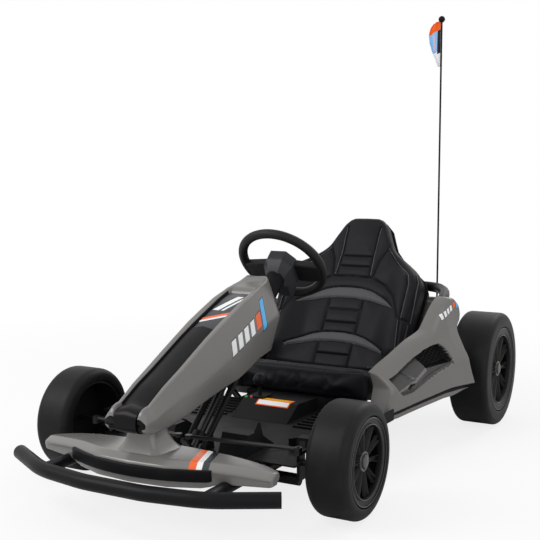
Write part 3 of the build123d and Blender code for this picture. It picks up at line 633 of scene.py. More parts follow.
frontWing = joined("frontWing", [wingBody, skin("wingNeck", rings, angle=40)])
give(frontWing, "wing_grey", stands=["front_wing"])

# black blade strip on the wing's front
edging = {"half": 162, "step": 6, "front": -282.5, "sweep": 40.5, "low": 111, "high": 133.5, "deep": 9}
rings = []
for x in range(-edging["half"], edging["half"] + 1, edging["step"]):
    front = edging["front"] + (abs(x) / edging["half"]) ** 2.1 * edging["sweep"]
    inset = 0.8 if abs(x) == edging["half"] else 0
    back, low, high = front + edging["deep"], edging["low"] + inset, edging["high"] - inset
    front += inset
    ring = rounded([(back, low, 1), (back, high, 2), (front, high, 2.2), (front, low, 2.2)], steps=4)
    rings.append([mm(x, u, v) for u, v in ring])
give(skin("wingBlade", rings, angle=35), "black_plastic", stands=["wing_blade"])
print("wing done")


# wheels: turned from a circle, ring by ring
def turned(name, profile, x, y, z, segments=96):
    bpy.ops.object.select_all(action="DESELECT")
    bpy.ops.mesh.primitive_circle_add(vertices=segments, radius=profile[0][1] / 1000, fill_type="NOTHING",
                                      rotation=(0, pi / 2, 0), location=(profile[0][0] / 1000, 0, 0))
    piece = settle(bpy.context.object)
    bpy.ops.object.mode_set(mode="EDIT")
    bpy.ops.mesh.select_mode(type="EDGE")
    bpy.ops.mesh.select_all(action="SELECT")
    for (x0, r0), (x1, r1) in zip(profile, profile[1:]):
        bpy.ops.mesh.extrude_region_move(TRANSFORM_OT_translate={"value": ((x1 - x0) / 1000, 0, 0)})
        bpy.ops.transform.resize(value=(1, r1 / r0, r1 / r0), center_override=(x1 / 1000, 0, 0))
    bpy.ops.object.mode_set(mode="OBJECT")
    piece.name = name
    piece.data.transform(Matrix.Translation(mm(x, y, z)))
    return tidy(piece, 30)


def arc(cx, cr, radius, start, end, steps):
    return [(cx + radius * cos(radians(start + (end - start) * k / steps)),
             cr + radius * sin(radians(start + (end - start) * k / steps))) for k in range(steps + 1)]


wheels = {
    "front": {"x": 332.5, "y": 0, "z": 116.5, "radius": 116.5, "half": 45.5, "shoulder": 19.0, "dish": 91.0,
              "opening": 72.5, "step": 0.0, "firstBlade": 8},
    "rear": {"x": 353.0, "y": 838, "z": 150.0, "radius": 150.0, "half": 52.0, "shoulder": 15.0, "dish": 113.5,
             "opening": 89.5, "step": 7.0, "firstBlade": 14},
}
bladeShape = {"count": 10, "from": 17.0, "past": 2.0, "behind": 12.0, "deep": 8.0, "wide": 2.8, "flare": 5.0,
              "lean": 3.0, "frame": 1.3, "sunk": 6.0}


def tyreProfile(w):
    radius, half, dish, shoulder = w["radius"], w["half"], w["dish"], w["shoulder"]
    side = [(half - 1.6, dish - 0.2), (half - 0.6, dish + 1.2), (half, dish + 3.5), (half - 0.2, dish + 6)]
    tread = [(0.0, radius)]
    outer = side + arc(half - shoulder - 0.2, radius - shoulder, shoulder, 0, 90, 9)
    inner = [(-u, v) for u, v in reversed(outer)]
    bead = [(-half + 8, dish - 1.5), (half - 8, dish - 1.5)]
    return outer + tread + inner + bead + [outer[0]]


def rimProfile(w):
    half, dish, opening, step = w["half"], w["dish"] - 1.7, w["opening"], w["step"]
    face = half - 2.6
    lip = [(face - 7, dish + 0.1), (face - 1.8, dish), (face, dish - 1.8)]
    if step:
        lip += [(face + 0.2, opening + step + 1.5), (face - 1.5, opening + step), (face - 1.8, opening + 1.6)]
    lip += [(face - 2.2, opening + 0.8), (face - 4.5, opening), (face - 13, opening - 0.6),
            (face - 16, opening + 2), (-half + 8, dish - 6), (-half + 5, dish - 1.5), (-half + 6, dish + 0.1)]
    return lip + [lip[0]]


def blade(w):  # one twin blade: a tapered bar with a sunk web, lying along +z
    inner, outer = bladeShape["from"], w["opening"] + bladeShape["past"]
    middle, deep = (inner + outer) / 2000, bladeShape["deep"] / 1000
    out = (w["half"] - bladeShape["behind"]) / 1000
    bpy.ops.object.select_all(action="DESELECT")
    bpy.ops.mesh.primitive_cube_add(size=1, location=(out - deep / 2, 0, middle),
                                    scale=(deep, bladeShape["wide"] / 1000, (outer - inner) / 1000))
    piece = settle(bpy.context.object)
    for vertex in piece.data.vertices:
        if vertex.co.z > middle:
            vertex.co.y *= w["opening"] / wheels["front"]["opening"] * bladeShape["flare"]
            vertex.co.x += bladeShape["lean"] / 1000
    piece.data.materials.append(looks["rim"])
    piece.data.materials.append(looks["rim_dark"])
    for edge in piece.data.edges:
        edge.select = False
    for side in piece.data.polygons:
        side.select = side.normal.x > 0.9
    bpy.ops.object.mode_set(mode="EDIT")
    bpy.ops.mesh.select_mode(type="FACE")
    bpy.ops.mesh.inset(thickness=bladeShape["frame"] / 1000)
    bpy.ops.transform.translate(value=(-bladeShape["sunk"] / 1000, 0, 0))
    bpy.ops.object.mode_set(mode="OBJECT")
    for side in piece.data.polygons:
        side.material_index = 1 if side.select else 0
    return piece


def wheelPieces(w):
    x, y, z = w["x"], w["y"], w["z"]
    tyre = turned("tyre", tyreProfile(w), x, y, z)
    rim = turned("rim", rimProfile(w), x, y, z)
    face, opening = w["half"] - 12, w["opening"]
    backProfile = [(-16, 1.0), (-16, opening + 3), (-21, opening + 3), (-21, 1.0), (-16, 1.0)]
    back = turned("back", [(face + out, radius) for out, radius in backProfile], x, y, z)
    hubProfile = [(-17, 1.0), (-17, 20.5), (-1, 20.5), (0.5, 19.5), (0.5, 16), (-1.5, 15.2), (-1.5, 13.8),
                  (2.5, 13.6), (4, 12.6), (4.9, 9), (5.3, 4), (5.4, 1.0), (-17, 1.0)]
    hub = turned("hub", [(face + out, radius) for out, radius in hubProfile], x, y, z, 48)
    blades = [blade(w)]
    while len(blades) < bladeShape["count"]:
        blades.append(copied(blades[0], "blade"))
    for k, piece in enumerate(blades):
        turn = Matrix.Rotation(radians(360 / len(blades) * k + w["firstBlade"]), 4, "X")
        piece.data.transform(Matrix.Translation(mm(x, y, z)) @ turn)
    edges = []
    beads = ((w["dish"] - 4.5, w["half"] - 1.9), (opening + 1.2, w["half"] - 2.6 - w["step"] * 0.1))
    for radius, out in beads:
        bead = [(out + 1.1 * cos(a), radius + 1.1 * sin(a)) for a in (k % 6 * pi / 3 for k in range(7))]
        edges.append(turned("edge", bead, x, y, z))
    for part, look in [(rim, "rim_dark"), (back, "rim_dark")] + [(p, "rim") for p in [hub] + edges]:
        part.data.materials.append(looks[look])
    rim = joined("rim", [rim, back, hub] + blades + edges)
    return tyre, tidy(rim, 30)


for end, w in wheels.items():
    parts = dict(zip(("tyre", "rim"), wheelPieces(w)))
    for side in ("left", "right"):
        for part, piece in parts.items():
            name = f"{end}{part.capitalize()}{side.capitalize()}"
            shown = piece if side == "left" else mirroredCopy(piece, name)
            shown.name = name
            give(shown, part, f"{end}_wheel_{side}", stands=[f"{end}_{part}_{side}"])
print("wheels done")


# side pods: a dense skin over the outline in the y-z plane, with a scoop pressed into it
pod = {"edge": 6.5, "topEdge": 15.0, "frontEdge": 9.0, "lengthSteps": 170, "heightSteps": 90, "deep": 23.0,
       "footFlare": 60}
podTop = [(400, 202), (430, 219), (469, 239), (517, 263), (569, 283), (582, 297), (594, 314), (608, 333),
          (623, 350), (640, 361), (652, 360)]
podFoot = [(398, 99), (460, 112), (520, 125), (587, 138), (630, 141), (669, 142)]
podFront = [(398, 99), (404, 125), (411, 150), (413, 166), (408, 184), (400, 202)]
podRear = [(669, 142), (657, 183), (650, 218), (652, 250), (659, 284), (672, 302), (678, 318), (672, 338),
           (660, 353), (652, 360)]
podShape = [  # y, x at the foot, waist x and height, knee x and height, shoulder x and height
    (400, 252, 253, 154, 230, 184, 214, 206), (484, 293, 294, 177, 268, 214, 252, 244),
    (557, 330, 329, 198, 304, 240, 286, 285), (619, 360, 359, 208, 330, 268, 312, 350),
    (669, 385, 382, 217, 340, 284, 334, 360)]
podInner = [(400, 205), (669, 297)]
scoop = [(423, 185), (442, 192), (472, 208), (503, 225), (535, 240), (558, 249), (580, 253), (592, 244),
         (599, 226), (603, 202), (555, 185), (515, 167), (476, 146), (447, 141), (432, 154)]
scoopRidge = [(436, 151), (480, 172), (527, 197), (606, 207)]
scoopUpper, scoopLower = scoop[:9], scoop[9:]
scoopShallow = [(436, 1.5), (492, 1.5), (522, 6), (600, 7)]  # y and the depth at the ridge
scoopLow = [(436, 9), (480, 7), (500, 5), (532, 12)]  # y and the depth along the lower edge
meshStart = 525.0
# the frame's side bar, which passes behind the scoop
sideBar = {"out": 295.0, "from": 470, "height": 168, "half": 9, "slope": 2.5}


def readTable(table, at):
    return np.interp(at, *zip(*table))


def alongLine(points, count):
    # count points spread evenly along a smooth line through the given ones
    line = [Vector((u, v, 0)) for u, v in points]
    lengths = [0.0]
    for a, b in zip(line, line[1:]):
        lengths.append(lengths[-1] + (b - a).length)
    total = lengths[-1]
    rows = smoothRows([[p] for p in line], lengths, [total * k / (count - 1) for k in range(count)])
    return np.array([[row[0].x, row[0].y] for row in rows])


def segmentDistance(points, line, closed=False):
    # distance of every point from a polyline
    corners = list(line) + ([line[0]] if closed else [])
    best = np.full(len(points), 1e9)
    for (ax, ay), (bx, by) in zip(corners, corners[1:]):
        dx, dy = bx - ax, by - ay
        t = np.clip(((points[:, 0] - ax) * dx + (points[:, 1] - ay) * dy) / (dx * dx + dy * dy + 1e-12), 0, 1)
        best = np.minimum(best, np.hypot(points[:, 0] - ax - t * dx, points[:, 1] - ay - t * dy))
    return best


def insideOutline(points, line):
    inside = np.zeros(len(points), bool)
    for (ax, ay), (bx, by) in zip(line, list(line[1:]) + [line[0]]):
        if ay == by:
            continue
        crosses = (ay > points[:, 1]) != (by > points[:, 1])
        at = (bx - ax) * (points[:, 1] - ay) / (by - ay) + ax
        inside ^= crosses & (points[:, 0] < at)
    return inside


def ease(t):
    t = np.clip(t, 0, 1)
    return t * t * (3 - 2 * t)


def podFace(y, z):
    foot, waist, waistZ, knee, kneeZ, top, topZ = lerp(podShape, y)
    if z < waistZ:
        return waist + (foot - waist) * (waistZ - z) / pod["footFlare"]
    if z < kneeZ:
        return waist + (knee - waist) * (z - waistZ) / (kneeZ - waistZ)
    return knee + (top - knee) * (z - kneeZ) / (topZ - kneeZ)


def podSurface(y, z):
    # x of the outer face at a place in the outline, with its creases rounded
    return sum(podFace(y, z + shift) for shift in (-9, -4.5, 0, 4.5, 9)) / 5


nu, nv = pod["lengthSteps"], pod["heightSteps"]
topLine, footLine = alongLine(podTop, nu), alongLine(podFoot, nu)
frontLine, rearLine = alongLine(podFront, nv), alongLine(podRear, nv)
places = []
for i in range(nu):
    s = i / (nu - 1)
    for j in range(nv):
        t = j / (nv - 1)
        edges = (1 - t) * footLine[i] + t * topLine[i] + (1 - s) * frontLine[j] + s * rearLine[j]
        corners = ((1 - s) * (1 - t) * footLine[0] + s * (1 - t) * footLine[-1] + (1 - s) * t * topLine[0]
                   + s * t * topLine[-1])
        places.append(edges - corners)
places = np.array(places)
surface = np.array([podSurface(y, z) for y, z in places])


def edgeDrop(distance, radius):
    d = np.clip(radius - distance, 0, radius)
    return radius - np.sqrt(np.maximum(radius * radius - d * d, 0))


drop = np.zeros(len(places))
for line, radius in ((topLine, pod["topEdge"]), (frontLine, pod["frontEdge"]), (rearLine[::-1], pod["edge"]),
                     (footLine, pod["edge"])):
    drop = np.maximum(drop, edgeDrop(segmentDistance(places, line), radius))
inScoop = insideOutline(places, scoop)
fromEdge = segmentDistance(places, scoop, closed=True)
fromRidge = segmentDistance(places, scoopRidge)
above = places[:, 1] > readTable(scoopRidge, places[:, 0])
shallow = readTable(scoopShallow, places[:, 0])
low = readTable(scoopLow, places[:, 0])
share = fromRidge / (fromRidge + segmentDistance(places, scoopUpper) + 1e-6)
upperDepth = shallow + (pod["deep"] - shallow) * ease(share * 1.15)
meshShare = ease((places[:, 0] - meshStart) / 5) * ease((fromRidge - 0.8) / 3.5)
upperDepth = upperDepth * (1 - meshShare) + pod["deep"] * meshShare
share = fromRidge / (fromRidge + segmentDistance(places, scoopLower) + 1e-6)
lowerDepth = shallow + (low - shallow) * share
depth = np.where(above, upperDepth, lowerDepth) * ease(fromEdge / 4.5) * inScoop
x = surface - drop
past = np.maximum(np.abs(places[:, 1] - sideBar["height"]) - sideBar["half"], 0)
barFace = np.where(places[:, 0] > sideBar["from"], sideBar["out"] - sideBar["slope"] * past, 0)
x = np.where(inScoop, np.maximum(x - depth, np.minimum(x, barFace)), x)
points = [mm(a, y, z) for a, (y, z) in zip(x, places)]
faces = gridFaces(nu, nv)
border = gridBorder(nu, nv)
border = border[:1] + border[:0:-1]
innerRing = range(len(points), len(points) + len(border))
points += [mm(lerp(podInner, places[b][0])[0], *places[b]) for b in border]
closeSheet(faces, [border, innerRing])
podLeft = build("podLeft", points, faces, 40)
for look in ("pod_grey", "scoop_painted_shade", "gloss_black"):
    podLeft.data.materials.append(looks[look])
faceCentres = np.array([inMm(face.center)[1:] for face in podLeft.data.polygons])
faceInScoop = insideOutline(faceCentres, scoop) & (segmentDistance(faceCentres, scoop, closed=True) > 1.2)
onRidge = (segmentDistance(faceCentres, scoopRidge[:3]) < 3.2) & (faceCentres[:, 0] < meshStart)
aboveRidge = faceCentres[:, 1] > readTable(scoopRidge, faceCentres[:, 0]) + 1
inMesh = (faceCentres[:, 0] > meshStart) & aboveRidge
painted = faceInScoop & ~onRidge
# faces inside the scoop, bar its ridge, take the darker paint as painted shade; faces behind the grille take
# gloss black
for face, (y, z), inside, mesh in zip(podLeft.data.polygons, faceCentres, painted, inMesh):
    if inside and face.center.x * 1000 > podSurface(y, z) - 40:  # only the outer skin
        face.material_index = 2 if mesh else 1
print("pod skin:", len(podLeft.data.polygons), "faces")

# grille: a diamond lattice behind the rear part of the scoop
grille = {"cells": 22, "cell": 8.5, "bar": 1.5, "squash": 0.8, "middle": (565, 224), "lift": 2.5}
grilleOutline = [(528, 203), (528, 238), (558, 246), (579, 250), (590, 242), (597, 226), (600, 209)]
bpy.ops.object.select_all(action="DESELECT")
bpy.ops.mesh.primitive_grid_add(x_subdivisions=grille["cells"], y_subdivisions=grille["cells"],
                                size=grille["cells"] * grille["cell"], rotation=(0, 0, pi / 4))
lattice = settle(bpy.context.object)
bpy.ops.object.mode_set(mode="EDIT")
bpy.ops.mesh.select_all(action="DESELECT")
bpy.ops.object.mode_set(mode="OBJECT")
middle = Vector(grille["middle"])
for face in lattice.data.polygons:
    spot = np.array([[face.center.x + middle.x, face.center.y + middle.y]])
    face.select = not insideOutline(spot, grilleOutline)[0]
bpy.ops.object.mode_set(mode="EDIT")
bpy.ops.mesh.delete(type="FACE")
bpy.ops.object.mode_set(mode="OBJECT")
for vertex in lattice.data.vertices:
    y, z = vertex.co.x + middle.x, vertex.co.y * grille["squash"] + middle.y
    vertex.co = mm(podSurface(y, z) - pod["deep"] + grille["lift"], y, z)
wires = lattice.modifiers.new("wires", "WIREFRAME")
wires.thickness = grille["bar"] / 1000
bpy.context.view_layer.objects.active = lattice
bpy.ops.object.modifier_apply(modifier="wires")
grilleLeft = tidy(lattice, 30)
grilleLeft.name = "grilleLeft"

# sill: a black strip under the pod's foot, painted shade for the shadow gap there, with a grey lip below it
sill = {"front": 404, "back": 660, "step": 8, "deep": 34, "fadeFront": 392, "fadeBack": 668, "fade": 60,
        "endShare": 0.12}
sillRows = [(404, 99), (460, 112), (520, 125), (587, 138), (630, 141), (660, 142)]
strips = []
# the first strip is black as painted shade in the gap under the pod; the second is the grey lip
for name, outer, high, low in (("sillShadowStrip", 4.0, 0.4, 10.0), ("sillLip", 11.0, 10.0, 24.0)):
    rings = []
    for y in range(sill["front"], sill["back"] + 1, sill["step"]):
        foot = lerp(sillRows, y)[0]
        x = lerp(podShape, y)[0] - outer
        end = ease(min(y - sill["fadeFront"], sill["fadeBack"] - y) / sill["fade"])
        bottom = high + (low - high) * (sill["endShare"] + (1 - sill["endShare"]) * end)
        ring = rounded([(x - sill["deep"], foot - high, 1), (x - sill["deep"], foot - bottom, 1),
                        (x - 5, foot - bottom, 3), (x, foot - high, 1.5)], steps=3)
        rings.append([mm(u, y, v) for u, v in ring])
    strips.append(skin(name, rings, angle=35))

for piece, mirrorName, look, slot, node in (
        (podLeft, "podRight", "pod_grey", "body_grey", "side_pod"),
        (grilleLeft, "grilleRight", "black_plastic", "black_plastic", "pod_grille"),
        (strips[0], "sillShadowStripRight", "black_plastic", "black_plastic", "sill"),
        (strips[1], "sillLipRight", "body_grey", "body_grey", "sill")):
    other = mirroredCopy(piece, mirrorName)
    for shown, side in ((piece, "left"), (other, "right")):
        give(shown, look, stands=[f"{node}_{side}"])
print("pods, grilles and sills done")

# seat back: a padded skin over the backrest's outline, in places across it and up it
back = {"rows": 230, "columns": 190, "low": -30, "tall": 467, "bunch": 0.35, "crowd": 0.28, "thick": 38.0,
        "bolster": 29.0, "groove": 3.4, "grooveWidth": 2.3, "puff": 5.0, "puffWidth": 19.0, "edge": 17.0}
# stretches over which the skin rises or falls: from where, over how much, and the share or mm it changes by
backSlopes = {"bolster": (96, 74), "rim": (182, 40, 14), "foot": (-24, 60), "shoulder": (235, 75, 0.75),
              "headrest": (325, 60, 5, 90)}
backWidth = [(-30, 198), (40, 198), (95, 202), (150, 206), (200, 209), (228, 208), (245, 203), (262, 193),
             (290, 162), (306, 142), (322, 122), (338, 106), (354, 95), (384, 80), (402, 72), (416, 65),
             (427, 55), (433, 47), (437, 36)]
backSeams = [  # places across, out to one side, and up
    [(49, 406), (47, 320), (50, 250)], [(87, 341), (68, 300), (60, 252)],
    [(86, 343), (111, 310), (136, 283), (157, 265), (170, 249), (177, 220), (177, 118), (185, 46),
     (189, -10)],
    [(187, 266), (199, 230), (201, 160), (199, 110), (199, 60)], [(177, 118), (200, 112)],
    [(0, 250), (60, 248), (100, 228), (140, 185), (170, 122)], [(50, 182), (50, 77)], [(50, 50), (50, -24)],
    [(0, 313), (48, 313)], [(0, 281), (48, 281)], [(0, 145), (50, 145)], [(0, 107), (50, 107)],
    [(0, 13), (50, 13)]]
for high, highFall, low, lowFall, end in inlays:
    for start, fall in ((high, highFall), (low, lowFall)):
        backSeams.append([(u, start - fall * u ** inlayPower) for u in range(0, end + 1, 12)])


def backPlace(u, up, out):
    (y, z), rise, lean = seatTilt["foot"], seatTilt["rise"], seatTilt["lean"]
    return mm(u, y - rise * out + lean * up, z + rise * up + lean * out)


def backHeight(spots):
    # how far the skin stands out at places (across, up)
    spots = np.column_stack([np.abs(spots[:, 0]), spots[:, 1]])
    near = np.full(len(spots), 1e9)
    for seam in backSeams:
        near = np.minimum(near, segmentDistance(spots, seam))
    out = back["puff"] * (1 - np.exp(-near / back["puffWidth"]))
    out -= back["groove"] * np.exp(-(near / back["grooveWidth"]) ** 2)
    u, up = spots[:, 0], spots[:, 1]
    riseFrom, riseOver = backSlopes["bolster"]
    rimFrom, rimOver, rimFall = backSlopes["rim"]
    footFrom, footOver = backSlopes["foot"]
    topFrom, topOver, topShare = backSlopes["shoulder"]
    headFrom, headOver, headRise, headHalf = backSlopes["headrest"]
    rise = ease((u - riseFrom) / riseOver) * back["bolster"] - ease((u - rimFrom) / rimOver) * rimFall
    out += rise * ease((up - footFrom) / footOver) * (1 - topShare * ease((up - topFrom) / topOver))
    out += headRise * ease((up - headFrom) / headOver) * (1 - (u / headHalf) ** 2)
    return out


rows, columns = back["rows"], back["columns"]
ups = []
for k in range(rows):  # closer together towards both ends
    s = k / (rows - 1)
    ups.append(back["low"] + back["tall"] * ((1 - cos(pi * s)) / 2 * back["bunch"] + s * (1 - back["bunch"])))
halves = smoothRows([[w] for up, w in backWidth], [up for up, w in backWidth], ups)
spots = []
for up, (half,) in zip(ups, halves):
    for k in range(columns):
        c = 2 * k / (columns - 1) - 1
        spots.append((half * ((1 - back["crowd"]) * c + back["crowd"] * sin(c * pi / 2)), up))
spots = np.array(spots)
edgeLine = [(half[0], up) for half, up in zip(halves, ups)][::3] + [(halves[-1][0], ups[-1]), (0, ups[-1])]
edgeLine = [(0, ups[0])] + edgeLine
fromSide = segmentDistance(np.column_stack([np.abs(spots[:, 0]), spots[:, 1]]), edgeLine)
heights = backHeight(spots) - edgeDrop(fromSide, back["edge"])
points = [backPlace(u, up, out) for (u, up), out in zip(spots, heights)]
faces = gridFaces(rows, columns)
border = gridBorder(rows, columns)
levels = ((-back["thick"] * 0.45, 1.0), (-back["thick"] * 0.8, 0.995), (-back["thick"], 0.975))
backRings = [border]
for level, narrow in levels:
    backRings.append(range(len(points), len(points) + len(border)))
    points += [backPlace(spots[b][0] * narrow, spots[b][1], level) for b in border]
closeSheet(faces, backRings)
seatBack = build("seatBack", points, faces, 50)
give(seatBack, "seat_back", stands=["seat_back"])
print("seat back:", len(seatBack.data.polygons), "faces")

# thread: short stitches beside the bolster seams
thread = {"pitch": 6.0, "long": 3.8, "wide": 1.7, "high": 0.9, "above": 0.8}
threadLines = [[(89, 340), (115, 307), (140, 280), (161, 262), (174, 247), (181, 220), (181, 122)],
               [(174, 112), (182, 46), (186, 0)], [(190, 264), (203, 230), (204, 164), (203, 116)],
               [(199, 104), (198, 62)], [(51.5, 400), (50, 322), (53, 256)]]
stitches = []
for line in threadLines:
    for side in (-1, 1):
        rest = 0.0
        for (u0, s0), (u1, s1) in zip(line, line[1:]):
            length = hypot(u1 - u0, s1 - s0)
            while rest < length:
                t = rest / length
                place = np.array([[side * (u0 + (u1 - u0) * t), s0 + (s1 - s0) * t]])
                half = next(h[0] for up, h in zip(ups, halves) if up >= place[0][1])
                far = max(abs(half) - abs(place[0][0]), 0)
                out = backHeight(place)[0] - edgeDrop(np.array([far]), back["edge"])[0] + thread["above"]
                stitches.append((place[0], out, Vector((side * (u1 - u0), s1 - s0)).normalized()))
                rest += thread["pitch"]
            rest -= length
points, faces = [], []
for (u, up), out, way in stitches:
    first = len(points)
    for endways, sideways, lift in ((-1, 0, 0), (0, -1, 0), (1, 0, 0), (0, 1, 0), (0, 0, 1), (0, 0, -1)):
        a, b = endways * thread["long"] / 2, sideways * thread["wide"] / 2
        across, along = u + way.x * a - way.y * b, up + way.y * a + way.x * b
        points.append(backPlace(across, along, out + lift * thread["high"]))
    for i in range(4):
        faces += [(first + i, first + (i + 1) % 4, first + 4), (first + (i + 1) % 4, first + i, first + 5)]
give(build("seatThread", points, faces, 60), "stitch")
print("stitches:", len(stitches))

# seat cushion: blown up from a slightly smaller block, with its channels pressed in afterwards
cushion = {"half": 196.0, "front": 412.0, "back": 599.0, "low": 126.0, "frontHigh": 199.0, "backHigh": 151.0,
           "bevel": 9.0, "voxel": 5.0, "pressure": 4, "frames": 20, "cap": 6.0, "floor": 122.5}
bpy.ops.object.select_all(action="DESELECT")
bpy.ops.mesh.primitive_cube_add(size=1, location=(0, 0, 0))
seatCushion = settle(bpy.context.object)
seatCushion.name = "seatCushion"
for vertex in seatCushion.data.vertices:
    u, v, w = vertex.co
    y = cushion["front"] if v < 0 else cushion["back"]
    high = cushion["frontHigh"] if v < 0 else cushion["backHigh"]
    vertex.co = mm(cushion["half"] * (1 if u > 0 else -1), y, high if w > 0 else cushion["low"])
bpy.ops.object.mode_set(mode="EDIT")
bpy.ops.mesh.select_all(action="SELECT")
bpy.ops.mesh.bevel(offset=cushion["bevel"] / 1000, segments=3, affect="EDGES")
bpy.ops.object.mode_set(mode="OBJECT")
remesh = seatCushion.modifiers.new("even", "REMESH")
remesh.mode, remesh.voxel_size = "VOXEL", cushion["voxel"] / 1000
bpy.ops.object.modifier_apply(modifier="even")
rest = [vertex.co.copy() for vertex in seatCushion.data.vertices]
cloth = seatCushion.modifiers.new("blown", "CLOTH")
cloth.settings.use_pressure = True
cloth.settings.uniform_pressure_force = cushion["pressure"]
cloth.settings.effector_weights.gravity = 0
for step in range(1, cushion["frames"] + 1):
    bpy.context.scene.frame_set(step)
bpy.ops.object.modifier_apply(modifier="blown")
bpy.context.scene.frame_set(1)
for vertex, start in zip(seatCushion.data.vertices, rest):
    move = vertex.co - start
    if move.length > cushion["cap"] / 1000:
        vertex.co = start + move.normalized() * (cushion["cap"] / 1000)
    vertex.co.z = max(vertex.co.z, cushion["floor"] / 1000)
smooth = seatCushion.modifiers.new("smooth", "SUBSURF")
smooth.levels = smooth.render_levels = 1
bpy.ops.object.modifier_apply(modifier="smooth")
# channels pressed into the cushion: lines across x on its top, one along its front edge, and short rear ones
channels = {"across": (1.0, 80.0, 149.0, -80.0, -149.0), "reach": 424.0, "strip": 421.0, "topFrom": 180,
            "rear": (-60, 60), "rearFrom": 430, "rearAbove": 130, "depth": 2.6, "width": 2.2,
            "rearWidth": 2.6}


def pressed(place, line, width):
    return exp(-((place - line) / width) ** 2)


for vertex in seatCushion.data.vertices:
    x, y, z = inMm(vertex.co)
    dip = 0.0
    if z > channels["topFrom"]:
        dip = pressed(y, channels["strip"], channels["width"])
        if y < channels["reach"]:
            dip = max([dip] + [pressed(x, line, channels["width"]) for line in channels["across"]])
    if y > channels["rearFrom"] and z > channels["rearAbove"]:
        dip = max([dip] + [pressed(x, line, channels["rearWidth"]) for line in channels["rear"]])
    vertex.co.z -= dip * channels["depth"] / 1000
tidy(seatCushion, 60)
give(seatCushion, "seat_leather", stands=["seat_cushion"])
print("seat cushion:", len(seatCushion.data.polygons), "faces")

# blackened rivet on the cushion's front corner
bpy.ops.object.select_all(action="DESELECT")
bpy.ops.mesh.primitive_torus_add(major_radius=0.0052, minor_radius=0.0015, major_segments=28,
                                 minor_segments=10, location=mm(187, 444, 204))
rivet = settle(bpy.context.object)
rivet.name = "rivet"
give(rivet, "steel")

# closure down both front corners of the cushion: a row of small links
closure = {"half": 196, "y": 408.5, "low": 134, "pitch": 4.4, "links": 14, "corners": (
    (-1.6, 0, 0), (0, -0.9, 0), (1.6, 0, 0), (0, 0, 1.2), (0, 0, -1.2))}
points, faces = [], []
for side in (-1, 1):
    for k in range(closure["links"]):
        spot = mm(side * closure["half"], closure["y"], closure["low"] + k * closure["pitch"])
        first = len(points)
        points += [spot + Vector(corner) / 1000 for corner in closure["corners"]]
        for face in ((0, 1, 3), (1, 2, 3), (2, 1, 4), (1, 0, 4), (0, 3, 2, 4)):
            faces.append(tuple(first + corner for corner in face))
give(build("cushionThread", points, faces, 30), "steel")

# steering wheel: a round grip with two broad arms, and a faceted pad with a foot down the column
wheel = {"centre": (345.0, 457.0), "slant": radians(41.8), "radius": 101.8, "grip": 11.2, "flat": -100.5,
         "seams": (0.62, 1.15, 2.0, 2.55), "seamWide": 0.012, "seamDeep": 0.06}


def onWheel(across, up, out):
    # a place in the wheel's plane, out towards the driver
    y, z = wheel["centre"]
    return mm(across, y + out * cos(wheel["slant"]) - up * sin(wheel["slant"]),
              z + out * sin(wheel["slant"]) + up * cos(wheel["slant"]))


def slab(name, outline, low, high, edge, angle=30):
    # an outline in the wheel's plane with bevelled faces towards the driver and away
    rings = []
    centre = (sum(p[0] for p in outline) / len(outline), sum(p[1] for p in outline) / len(outline))
    for out, inset in ((low, edge), (low + edge * 0.7, 0.0), (high - edge * 0.7, 0.0), (high, edge)):
        ring = []
        for u, v in outline:
            reach = hypot(u - centre[0], v - centre[1])
            share = (reach - inset) / reach
            u, v = centre[0] + (u - centre[0]) * share, centre[1] + (v - centre[1]) * share
            ring.append(onWheel(u, v, out))
        rings.append(ring)
    return skin(name, rings, angle=angle)


bpy.ops.object.select_all(action="DESELECT")
bpy.ops.mesh.primitive_torus_add(major_radius=wheel["radius"] / 1000, minor_radius=wheel["grip"] / 1000,
                                 major_segments=96, minor_segments=24)
grip = settle(bpy.context.object)
grip.name = "steeringGrip"
for vertex in grip.data.vertices:
    u, v, w = (c * 1000 for c in vertex.co)
    turn = Vector((u, v)).normalized()
    ringPlace = Vector((turn.x * wheel["radius"], turn.y * wheel["radius"]))
    v += max(wheel["flat"] - ringPlace.y, 0)
    seam = 0.0
    for place in wheel["seams"]:  # stitched joints of the grip's cover
        seam = max(seam, exp(-((abs(Vector((0, 1)).angle(turn)) - place) / wheel["seamWide"]) ** 2))
    seam *= wheel["seamDeep"]
    vertex.co = onWheel(u - (u - ringPlace.x) * seam, v, w * (1 - seam))
tidy(grip, 60)
armOutline = ((24, 12, 3), (100, 4, 6), (97, -44, 10), (60, -50, 12), (24, -46, 3))
arms = []
for side in (-1, 1):
    outline = rounded([(side * u, v, r) for u, v, r in armOutline], steps=4)
    arms.append(slab("arm", [tuple(p) for p in outline], -11, 7, 3.5))
give(joined("steeringWheel", [grip] + arms), "grip", "steering", stands=["steering_wheel"])
hubPad = {"outline": [(-20, 38), (20, 38), (39, 12), (34, -42), (-34, -42), (-39, 12)], "middle": -6,
          "levels": ((-52, 0.5), (-48, 0.6), (-22, 0.97), (-18, 1.0), (6, 1.0), (13, 0.8))}
rings = [[onWheel(u * share, (v - hubPad["middle"]) * share + hubPad["middle"], out)
          for u, v in hubPad["outline"]] for out, share in hubPad["levels"]]
pad = skin("pad", rings, angle=20)
foot = slab("foot", [(-22, -24), (22, -24), (17, -74), (-17, -74)], -42, -6, 6, 20)
hub = joined("steeringHub", [pad, foot])
give(hub, "pad_plastic", "steering", stands=["steering_hub"])

# fixed cover round the column: turned about x, then stood on the column's slant
columnProfile = [(-46, 23), (-122, 20), (-122, 15.5), (-46, 16), (-46, 23)]
columnCover = turned("columnCover", columnProfile, 0, axle, 0, 48)
across, along = cos(wheel["slant"]), sin(wheel["slant"])
slanting = Matrix(((0, 1, 0, 0), (across, 0, along, 0), (along, 0, -across, 0), (0, 0, 0, 1)))
columnCover.data.transform(Matrix.Translation(mm(0, *wheel["centre"])) @ slanting)
give(tidy(columnCover, 40), "black_plastic")
print("steering wheel done")

